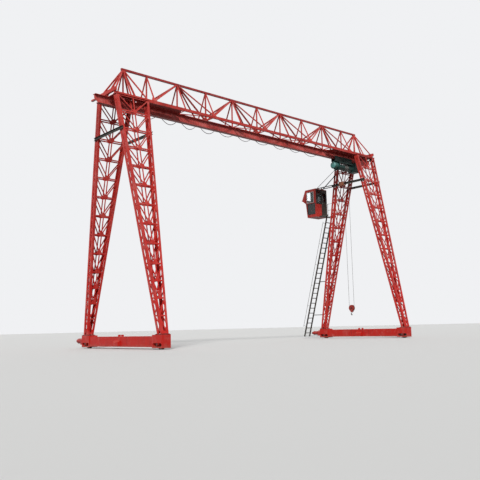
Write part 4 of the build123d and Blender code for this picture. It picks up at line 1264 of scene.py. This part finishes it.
@dataclass
class CableStraps(SubAssembly):
    """Bolted straps that hold the festoon cable under its clips."""

    cable: FestoonCable
    wall: float = 0.003
    width: float = 0.026
    play: float = 0.0005
    ear: float = 0.016
    screw: float = 0.004

    def build(self) -> None:
        """Make the straps and set their screws."""
        rise = self.cable.thickness / 2
        reach = rise + self.play + self.wall / 2
        ear_middle = reach - self.wall / 2 + self.ear / 2
        recipe = NodeRecipe("cable_straps")
        bend, width, wall = (recipe.size(name, value) for name, value in (
            ("bend", reach), ("width", self.width), ("wall", self.wall)))
        arc = recipe.add("GeometryNodeCurveArc", Resolution=14, Radius=bend,
                         Start_Angle=-math.pi / 2, Sweep_Angle=math.pi)
        band = recipe.add("GeometryNodeCurvePrimitiveQuadrilateral", Width=wall, Height=width)
        parts = [recipe.sweep(arc, band)]
        for side in SIDES:
            parts += [recipe.moved(recipe.box(rise, wall, width), (-rise / 2, side * reach, 0.0)),
                      recipe.moved(recipe.box(wall, self.ear, width),
                                   (self.wall / 2 - rise, side * ear_middle, 0.0))]
        recipe.close(recipe.on_points(recipe.join(*parts)), self.palette.zinc)
        spots = [Vector((x, self.cable.across, self.cable.level)) for x in self.cable.clips]
        self.fit(recipe.run("cable_straps", [(spot, ALONG) for spot in spots]), Slot.WHEEL,
                 self.palette.zinc)
        heads = [(spot + Vector((0, side * ear_middle, rise - self.wall)), -UP)
                 for spot, side in product(spots, SIDES)]
        self.bolt_on("strap_screws", heads, Slot.WHEEL, self.screw, self.palette.zinc)


@dataclass
class WheelBoxes(SubAssembly):
    """Bearing covers on the wheel boxes and flange bolts on the drives."""

    portal: Portal
    wheel_y: float = 3.48
    wheel_level: float = 0.25
    box_half: float = 0.26
    cover_hole: float = 0.045
    cover: float = 0.074
    cover_depth: float = 0.014
    cover_screw: float = 0.0055
    flange_face: float = 4.21
    drive_level: float = 0.40
    flange_circle: float = 0.160
    flange_bolt: float = 0.010

    def build(self) -> None:
        """Make the covers and set their bolts."""
        covers = Shape("bearing_covers", soften=0.003)
        circle = (self.cover_hole + self.cover) / 2
        heads, flanges = [], []
        for end in SIDES:
            x = end * self.portal.support_x
            for side, out in product(SIDES, SIDES):
                axis = ALONG * out
                seat = Vector((x + out * self.box_half, side * self.wheel_y, self.wheel_level))
                covers.collar(seat, axis, self.cover_hole, self.cover, self.cover_depth)
                heads += [(seat + way * circle + axis * self.cover_depth, axis)
                          for way in around(6)]
            middle = Vector((x, self.flange_face, self.drive_level))
            flanges += [(middle + way * self.flange_circle, ACROSS) for way in around(8, "Y")]
        self.fit(covers.loose(), Slot.RED, self.palette.feet)
        self.bolt_on("cover_screws", heads, Slot.RED, self.cover_screw, self.palette.bolt)
        self.bolt_on("drive_flange_bolts", flanges, Slot.DRIVE, self.flange_bolt)


@dataclass
class JunctionBox(SubAssembly):
    """Lid, screws and cable glands of the junction box on the brace."""

    portal: Portal
    depth: float = 0.110
    half_height: float = 0.15
    start_y: float = 0.34
    length: float = 0.43
    lid: float = 0.008
    lid_edge: float = 0.012
    screw_inset: float = 0.025
    screw: float = 0.007
    glands: tuple[float, ...] = (0.10, 0.20, 0.30)
    gland: float = 0.022
    nut: float = 0.03
    sleeve: float = 0.02
    sleeve_radius: float = 0.0176
    sleeve_taper: float = 0.7

    def build(self) -> None:
        """Make the lid, its screws and the glands."""
        out = self.portal.outward(-1)
        up = Vector((out.z, 0, -out.x))
        seat = self.portal.brace_seat(1, -1, self.start_y)
        face = seat + out * (self.portal.channel_flange + self.depth)
        rise = up * 2 * (self.half_height - self.lid_edge)
        low = face - rise / 2 + ACROSS * self.lid_edge
        width = self.length - 2 * self.lid_edge
        across = ACROSS * width
        lid = Shape("junction_lid", soften=0.003)
        lid.solid([[spot, spot + across, spot + across + rise, spot + rise]
                   for spot in (low, low + out * self.lid)])
        self.fit(lid.loose(), Slot.ORANGE)
        inset = self.screw_inset
        heads = [(low + ACROSS * a + up * b + out * self.lid, out) for a, b in product(
            (inset, width - inset), (inset, rise.length / 2, rise.length - inset))]
        self.bolt_on("junction_screws", heads, Slot.ORANGE, self.screw, self.palette.bolt)
        glands = Shape("junction_glands", soften=0.002)
        base = seat + out * (self.portal.channel_flange + self.depth / 2) - up * self.half_height
        for run in self.glands:
            top = base + ACROSS * run
            collar = top - up * self.nut
            glands.rod(top, collar, self.gland, sides=6)
            glands.rod(collar, collar - up * self.sleeve, self.sleeve_radius,
                       taper=self.sleeve_taper)
        self.fit(glands.loose(), Slot.CABLE, self.palette.seal)


@dataclass
class Cabin(SubAssembly):
    """Window seals, dark frames, door hardware and trim of the driver's cabin."""

    x0: float = 8.31
    x1: float = 9.55
    floor: float = 9.08
    roof: float = 11.22
    y0: float = 2.4970
    wall: float = 0.04
    glass: float = 0.008
    strip: float = 0.022
    lip: float = 0.014
    proud: float = 0.006
    # Openings, from the cabin's corner at x0, y0 and from its floor
    side_y: Span = (0.245, 0.92)
    side_z: Span = (1.12, 1.92)
    low_y: Span = (0.12, 0.84)
    low_z: Span = (0.23, 1.03)
    back_x: Span = (0.07, 0.59)
    back_z: Span = (1.04, 2.04)
    door_x: Span = (0.65, 1.18)
    door_z: Span = (0.05, 2.04)
    door_pane_x: Span = (0.74, 1.09)
    door_pane_z: Span = (1.17, 1.87)
    # Corners of the broken front: across the girder from y0, and above the floor
    front: tuple[Span, ...] = ((0.9, 0.0), (1.03, 1.08), (1.41, 1.38), (1.06, 2.14))
    pane_frame: float = 0.09
    pane_ends: float = 0.1
    slide: float = 3.04
    rail: float = 0.034
    rail_play: float = 0.002
    pane_play: float = 0.0005
    ridge: float = 0.022
    ridge_seat: float = 0.7
    ridge_over: float = 0.01
    # Dark frames: thickness, distance from the cabin's edges and from each other, their
    # lower edges above the floor, and their upper ones below the roof's top
    frame_depth: float = 0.004
    frame_inset: float = 0.004
    frame_gap: float = 0.001
    frame_low: Span = (0.98, 0.01)
    frame_top: float = 0.045
    door_inset: float = 0.002
    # Handle: place on the door, half width, thickness and half height of its plate, bars
    handle_x: float = 0.045
    handle_level: float = 1.02
    handle_plate: Point = (0.02, 0.008, 0.09)
    handle_rise: float = 0.04
    handle_root: float = 0.006
    handle_reach: float = 0.045
    handle_run: Span = (-0.012, 0.11)
    handle_bars: Span = (0.009, 0.010)
    # Hinges: shares of the door's height, the pin's radius and half length, and the leaves
    hinges: tuple[float, ...] = (0.12, 0.5, 0.88)
    hinge_x: float = 0.006
    hinge_out: float = 0.018
    hinge_pin: Span = (0.011, 0.06)
    leaf_run: Span = (-0.05, 0.045)
    leaf_half: float = 0.045
    leaf_faces: Span = (0.010, 0.006)
    leaf_screws: tuple[Span, Span] = ((-0.035, 0.03), (-0.03, 0.03))
    leaf_screw: float = 0.005
    # Drip strips: width, ends along the roof, and depths below its top
    drip: float = 0.016
    drip_y: Span = (0.02, 1.04)
    drip_z: Span = (0.03, 0.008)

    def build(self) -> None:
        """Make the seals, the dark frames, the door's hardware and the trim."""
        self._seals()
        self._dark_frames()
        self._door()
        self._gutter()
        self._ridge_strip()

    def _ridge_strip(self) -> None:
        """Make the dark strip along the foremost edge of the front."""
        strip = Shape("front_ridge_strip", soften=0.003)
        y = self.y0 + self.front[2][0] + self.ridge * self.ridge_seat
        z = self.floor + self.front[2][1]
        strip.rod(Vector((self.x0 - self.ridge_over, y, z)),
                  Vector((self.x1 + self.ridge_over, y, z)), self.ridge, sides=12)
        self.fit(strip.loose(), Slot.DARK, self.palette.seal)

    def _seal(self, seals: Shape, corner: Vector, across: Vector, up: Vector,
              inward: Vector) -> None:
        """Add a profile round one pane, on both sides of the wall.

        Args:
            seals: The piece to add to.
            corner: The opening's corner on the wall's outer face.
            across: The opening's width.
            up: The opening's height.
            inward: Direction into the cabin.
        """
        reach = (self.wall - self.glass) / 2
        for face, way in ((corner, inward), (corner + inward * self.wall, -inward)):
            seals.frame(face, across, up, self.strip + self.lip, -self.lip, -way * self.proud)
            seals.frame(face, across, up, self.lip, -self.lip, way * reach)

    def _seals(self) -> None:
        """Make the rubber seals of all panes and the alloy frames of the sliding ones."""
        seals = Shape("window_seals", soften=0.002)
        alloy = Shape("sliding_window_frames", soften=0.002)
        for into, x, inward, reach, heights in (
                (alloy, self.x0, 1, self.side_y, self.side_z),
                (alloy, self.x1, -1, self.side_y, self.side_z),
                (seals, self.x0, 1, self.low_y, self.low_z)):
            self._seal(into, Vector((x, self.y0 + reach[0], self.floor + heights[0])),
                       ACROSS * (reach[1] - reach[0]), UP * (heights[1] - heights[0]),
                       ALONG * inward)
        half = self.glass / 2 + self.pane_play
        depth = self.wall / 2 - self.rail_play - half
        low, high = (self.floor + z + lip for z, lip in zip(self.side_z, (self.lip, -self.lip)))
        for x, start in product((self.x0, self.x1 - self.wall),
                                (self.rail_play, self.wall / 2 + half)):
            alloy.block((x + start, self.slide - self.rail / 2, low),
                        (x + start + depth, self.slide + self.rail / 2, high))
        self.fit(alloy.loose(), Slot.WHEEL, self.palette.alloy)
        for reach, heights in ((self.back_x, self.back_z), (self.door_pane_x, self.door_pane_z)):
            self._seal(seals, Vector((self.x0 + reach[0], self.y0, self.floor + heights[0])),
                       ALONG * (reach[1] - reach[0]), UP * (heights[1] - heights[0]), ACROSS)
        width = ALONG * (self.x1 - self.x0 - 2 * self.pane_frame)
        for i in (0, 2):
            low, high = (Vector((self.x0 + self.pane_frame, self.y0 + y, self.floor + z))
                         for y, z in self.front[i:i + 2])
            run = (high - low).normalized()
            self._seal(seals, low + run * self.pane_ends, width,
                       run * ((high - low).length - 2 * self.pane_ends),
                       Vector((0, -run.z, run.y)))
        self.fit(seals.loose(), Slot.CABLE, self.palette.seal)

    def _dark_frames(self) -> None:
        """Make the dark frames round the back window and the door."""
        frames = Shape("cabin_back_frames", soften=0.002)
        post = (self.back_x[1] + self.door_x[0]) / 2
        width = self.x1 - self.x0
        depth, inset, gap = self.frame_depth, self.frame_inset, self.frame_gap
        for xs, zs, left, right, low, grow in (
                (self.back_x, self.back_z, inset, post - gap, self.frame_low[0],
                 self.strip + gap),
                (self.door_x, self.door_z, post + gap, width - inset, self.frame_low[1], 0.0)):
            outer = (self.x0 + left, self.x0 + right, self.floor + low,
                     self.roof - self.frame_top)
            inner = (self.x0 + xs[0] - grow, self.x0 + xs[1] + grow,
                     self.floor + zs[0] - grow, self.floor + zs[1] + grow)
            frames.solid([[Vector((x, self.y0 - lift, z)) for x, z in (
                (a, c), (b, c), (b, d), (a, d))] for lift, (a, b, c, d) in (
                    (0, outer), (depth, outer), (depth, inner), (0, inner))], closed=True)
        self.fit(frames.loose(), Slot.DARK)

    def _door(self) -> None:
        """Make the door's handle and hinges and set the hinges' screws."""
        hardware = Shape("door_hardware", soften=0.003)
        face = self.y0 + self.door_inset
        self._handle(hardware, face)
        side = self.x0 + self.door_x[1] + self.hinge_x
        front, back = (face - depth for depth in self.leaf_faces)
        radius, half = self.hinge_pin
        heads = []
        for share in self.hinges:
            z = self.floor + self.door_z[0] + (self.door_z[1] - self.door_z[0]) * share
            pin = Vector((side, face - self.hinge_out, z))
            hardware.rod(pin - UP * half, pin + UP * half, radius)
            hardware.block((side + self.leaf_run[0], front, z - self.leaf_half),
                           (side + self.leaf_run[1], back, z + self.leaf_half))
            heads += [(Vector((side + run, front, z + rise)), -ACROSS)
                      for run, rise in product(*self.leaf_screws)]
        self.fit(hardware.loose(), Slot.DARK, self.palette.zinc)
        self.bolt_on("hinge_screws", heads, Slot.DARK, self.leaf_screw, self.palette.zinc)

    def _handle(self, hardware: Shape, face: float) -> None:
        """Add the door's handle: its plate, its stem and its grip.

        Args:
            hardware: The piece to add to.
            face: The door's outer face, across the girder.
        """
        half, thick, tall = self.handle_plate
        x = self.x0 + self.door_x[0] + self.handle_x
        z = self.floor + self.handle_level
        hardware.block((x - half, face - thick, z - tall), (x + half, face, z + tall))
        z += self.handle_rise
        reach = face - self.handle_reach
        stem, grip = self.handle_bars
        hardware.rod(Vector((x, face - self.handle_root, z)), Vector((x, reach, z)), stem)
        hardware.rod(*(Vector((x + run, reach, z)) for run in self.handle_run), grip)

    def _gutter(self) -> None:
        """Make the drip strip under the roof's edge on both sides."""
        gutter = Shape("roof_drip_strips", soften=0.003)
        for x in (self.x0 - self.drip, self.x1):
            gutter.block((x, self.y0 + self.drip_y[0], self.roof - self.drip_z[0]),
                         (x + self.drip, self.y0 + self.drip_y[1], self.roof - self.drip_z[1]))
        self.fit(gutter.loose(), Slot.RED)


@dataclass
class Hoist(SubAssembly):
    """Rope on the drum and its falls, ribs on the motor and bolts on the hoist's covers."""

    BODY = Body.HOIST

    rope_x: float = 8.85
    drum_level: float = 12.33
    rope_reach: float = 0.2147
    rope: float = 0.0098
    turns: int = 20
    last_turn: float = 0.12
    fall_reach: float = 0.215
    fall: float = 0.010
    sheave_level: float = 2.14
    end_plate_x: float = 7.86
    motor_level: float = 12.38
    motor_radius: float = 0.24
    motor_x: Span = (7.48, 7.82)
    ribs: int = 30
    rib_height: float = 0.016
    rib_wall: float = 0.006
    gearbox_end: float = 10.13
    # Bolts on the gearbox's end and on the drum's end plate: across the girder, and height
    gearbox_bolts: tuple[Span, ...] = (
        (-0.25, 12.72), (-0.13, 12.72), (0.13, 12.72), (0.25, 12.72), (-0.28, 12.30),
        (0.28, 12.30), (-0.28, 12.42), (0.28, 12.42), (-0.28, 12.56), (0.28, 12.56),
        (-0.15, 12.19), (0.0, 12.19), (0.15, 12.19))
    plate_bolts: tuple[Span, ...] = ((0.255, 12.62), (0.215, 12.62), (0.255, 12.52),
                                     (0.215, 12.52))
    bolt: float = 0.012

    def build(self) -> None:
        """Make the winding, the falls, the ribs and the bolts."""
        self._winding()
        self._falls()
        self._ribs()
        self._bolts()

    def _winding(self) -> None:
        """Wind the rope on the drum, turn beside turn."""
        recipe = NodeRecipe("rope_winding")
        turns, radius, length, thick = (recipe.size(name, value) for name, value in (
            ("turns", float(self.turns)), ("radius", self.rope_reach),
            ("length", 2 * self.rope * self.turns), ("rope", self.rope)))
        spiral = recipe.add("GeometryNodeCurveSpiral", Resolution=36, Rotations=turns,
                            Start_Radius=radius, End_Radius=radius, Height=length)
        profile = recipe.add("GeometryNodeCurvePrimitiveCircle", Resolution=8, Radius=thick)
        start = recipe.calc("MULTIPLY_ADD", length, -1.0, self.rope_x + self.last_turn)
        wound = recipe.moved(recipe.sweep(spiral, profile),
                             recipe.vector(x=start, z=self.drum_level), (0.0, math.pi / 2, 0.0))
        recipe.close(wound, self.palette.of(Slot.ROPE))
        self.fit(recipe.run("drum_rope", [(Vector(), UP)]), Slot.ROPE)

    def _falls(self) -> None:
        """Hang the two rope falls between drum and hook block."""
        falls = Shape("rope_falls")
        for side in SIDES:
            falls.rod(*(Vector((self.rope_x, side * self.fall_reach, level))
                        for level in (self.drum_level, self.sheave_level)), self.fall, sides=12)
        piece = falls.loose()
        self._map_strands(piece.data, "strands")
        piece.data.materials.append(self.palette.falls)
        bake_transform(piece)
        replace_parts(piece, "hoist_ropes")
        LOG.info("%s between %s and %s", piece.name, Body.HOIST.value, Body.HOOK.value)

    def _map_strands(self, mesh: bpy.types.Mesh, name: str) -> None:
        """Give the falls a map that runs once round each rope and along it in metres.

        Args:
            mesh: The falls' mesh.
            name: The map's name.
        """
        spots = mesh.uv_layers.new(name=name).data
        for face in mesh.polygons:
            corners = [mesh.vertices[i].co for i in face.vertices]
            side = math.copysign(self.fall_reach, face.center.y)
            turns = [math.atan2(spot.y - side, spot.x - self.rope_x) / math.tau
                     for spot in corners]
            if max(turns) - min(turns) > 0.5:
                turns = [turn % 1.0 for turn in turns]
            for loop, turn, spot in zip(face.loop_indices, turns, corners):
                spots[loop].uv = (turn, spot.z)

    def _ribs(self) -> None:
        """Set cooling ribs round the motor."""
        recipe = NodeRecipe("motor_ribs")
        length, height, wall = (recipe.size(name, value) for name, value in (
            ("length", self.motor_x[1] - self.motor_x[0]), ("height", self.rib_height),
            ("wall", self.rib_wall)))
        recipe.close(recipe.on_points(recipe.box(length, wall, height)), self.palette.motor)
        middle = Vector((sum(self.motor_x) / 2, 0, self.motor_level))
        reach = self.motor_radius + self.rib_wall
        spots = [(middle + way * reach, way) for way in around(self.ribs)]
        self.fit(recipe.run("motor_ribs", spots), Slot.TEAL, self.palette.motor)

    def _bolts(self) -> None:
        """Set the bolts of the gearbox's end and of the drum's end plate."""
        spots = [(Vector((self.gearbox_end, y, z)), ALONG) for y, z in self.gearbox_bolts]
        spots += [(Vector((self.end_plate_x, side * y, z)), -ALONG)
                  for side, (y, z) in product(SIDES, self.plate_bolts)]
        self.bolt_on("hoist_bolts", spots, Slot.TEAL, self.bolt)


@dataclass
class HookBlock(SubAssembly):
    """Axle caps and bolts on the hook block's cheeks, and the forged hook below them."""

    BODY = Body.HOOK

    x: float = 8.85
    level: float = 2.14
    outside: float = 0.066
    bolt_circle: float = 0.165
    bolt: float = 0.014
    cap: float = 0.062
    cap_depth: float = 0.018
    pin: float = 0.02
    pin_depth: float = 0.008
    bend_level: float = 1.728
    bend_radius: float = 0.072
    # The bend's first angle and its sweep, in degrees, seen along the girder
    bend_from: float = 45.0
    bend_sweep: float = 190.0
    shank: float = 0.025
    shank_top: float = 1.862
    neck_level: float = 1.825
    # How far the neck's curve keeps to the shank's direction and to the bend's
    neck_pull: Span = (0.025, 0.02)
    neck_steps: int = 10
    belly: float = 0.032
    belly_share: float = 0.5
    tip: float = 0.011
    # Angles of the rings that round the tip off, in radians
    tip_turns: tuple[float, ...] = (0.4, 0.8, 1.15, 1.45)
    rings: int = 36
    sides: int = 24

    def build(self) -> None:
        """Make the caps and the hook and set the bolts."""
        caps = Shape("sheave_axle_caps", soften=0.004)
        spots = []
        for side in SIDES:
            axis = ALONG * side
            seat = Vector((self.x + side * self.outside, 0, self.level))
            lid = seat + axis * self.cap_depth
            caps.rod(seat, lid, self.cap, sides=24, taper=0.9)
            caps.rod(lid, lid + axis * self.pin_depth, self.pin, sides=12, taper=0.8)
            spots += [(seat + way * self.bolt_circle, axis) for way in around(4)]
        black = self.palette.of(Slot.HOOK_BLACK)
        self.fit(caps.loose(), Slot.HOOK_RED, black)
        self.bolt_on("cheek_bolts", spots, Slot.HOOK_RED, self.bolt, black)
        self._forge()

    def _forge(self) -> None:
        """Make the hook from rings of points round its middle line."""
        line = self._line()
        turns = [math.tau * i / self.sides for i in range(self.sides)]
        rings = []
        for i, (spot, reach) in enumerate(line):
            run = line[min(i + 1, len(line) - 1)][0] - line[max(i - 1, 0)][0]
            out = run.normalized().cross(ALONG)
            rings.append([spot + reach * (math.cos(turn) * out + math.sin(turn) * ALONG)
                          for turn in turns])
        hook = Shape("forged_hook")
        hook.solid(rings)
        for face in hook.bm.faces:
            face.smooth = True
        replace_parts(self.fit(hook.loose(), Slot.HOOK_BLACK), "hook")

    def _line(self) -> list[tuple[Vector, float]]:
        """Lay out the hook's middle line: shank, neck, bend and rounded tip.

        Returns:
            Points on the line, each with the hook's half thickness there.
        """
        lies = [math.radians(self.bend_from - self.bend_sweep * i / self.rings)
                for i in range(self.rings + 1)]
        middle = Vector((self.x, 0, self.bend_level))
        bend = [middle + self.bend_radius * Vector((0, math.cos(lie), math.sin(lie)))
                for lie in lies]
        first, last = (Vector((0, math.sin(lie), -math.cos(lie))) for lie in (lies[0], lies[-1]))
        top = Vector((self.x, 0, self.neck_level))
        pull = self.neck_pull
        neck = interpolate_bezier(top, top - UP * pull[0], bend[0] - first * pull[1], bend[0],
                                  self.neck_steps)
        line = [(Vector((self.x, 0, self.shank_top)), self.shank)]
        line += [(spot, self.shank) for spot in neck[:-1]]
        line += [(spot, self._thickness(i / self.rings)) for i, spot in enumerate(bend)]
        line += [(bend[-1] + last * self.tip * math.sin(turn), self.tip * math.cos(turn))
                 for turn in self.tip_turns]
        return line

    def _thickness(self, share: float) -> float:
        """Thicken the hook to its belly and thin it to its tip.

        Args:
            share: Share of the bend, from 0 at the neck to 1 at the tip.

        Returns:
            Half the hook's thickness there.
        """
        if share < self.belly_share:
            start, end, part = self.shank, self.belly, share / self.belly_share
        else:
            start, end = self.belly, self.tip
            part = (share - self.belly_share) / (1 - self.belly_share)
        return start + (end - start) * (0.5 - 0.5 * math.cos(math.pi * part))


def main() -> None:
    """Build the scene in order."""
    logging.basicConfig(level=logging.INFO, format="%(name)s: %(message)s")
    Viewpoint().build()
    palette = Palette()
    cable = FestoonCable()
    cable.build(palette)
    Studio().build()
    FrameDress(palette).dress()
    portal = Portal()
    shared = (palette, HexBolts(palette.bolt))
    for piece in (CableStraps(*shared, cable), PortalBolts(*shared, portal),
                  WheelBoxes(*shared, portal), JunctionBox(*shared, portal), Cabin(*shared),
                  Hoist(*shared), HookBlock(*shared)):
        piece.build()


if __name__ == "__main__":
    main()
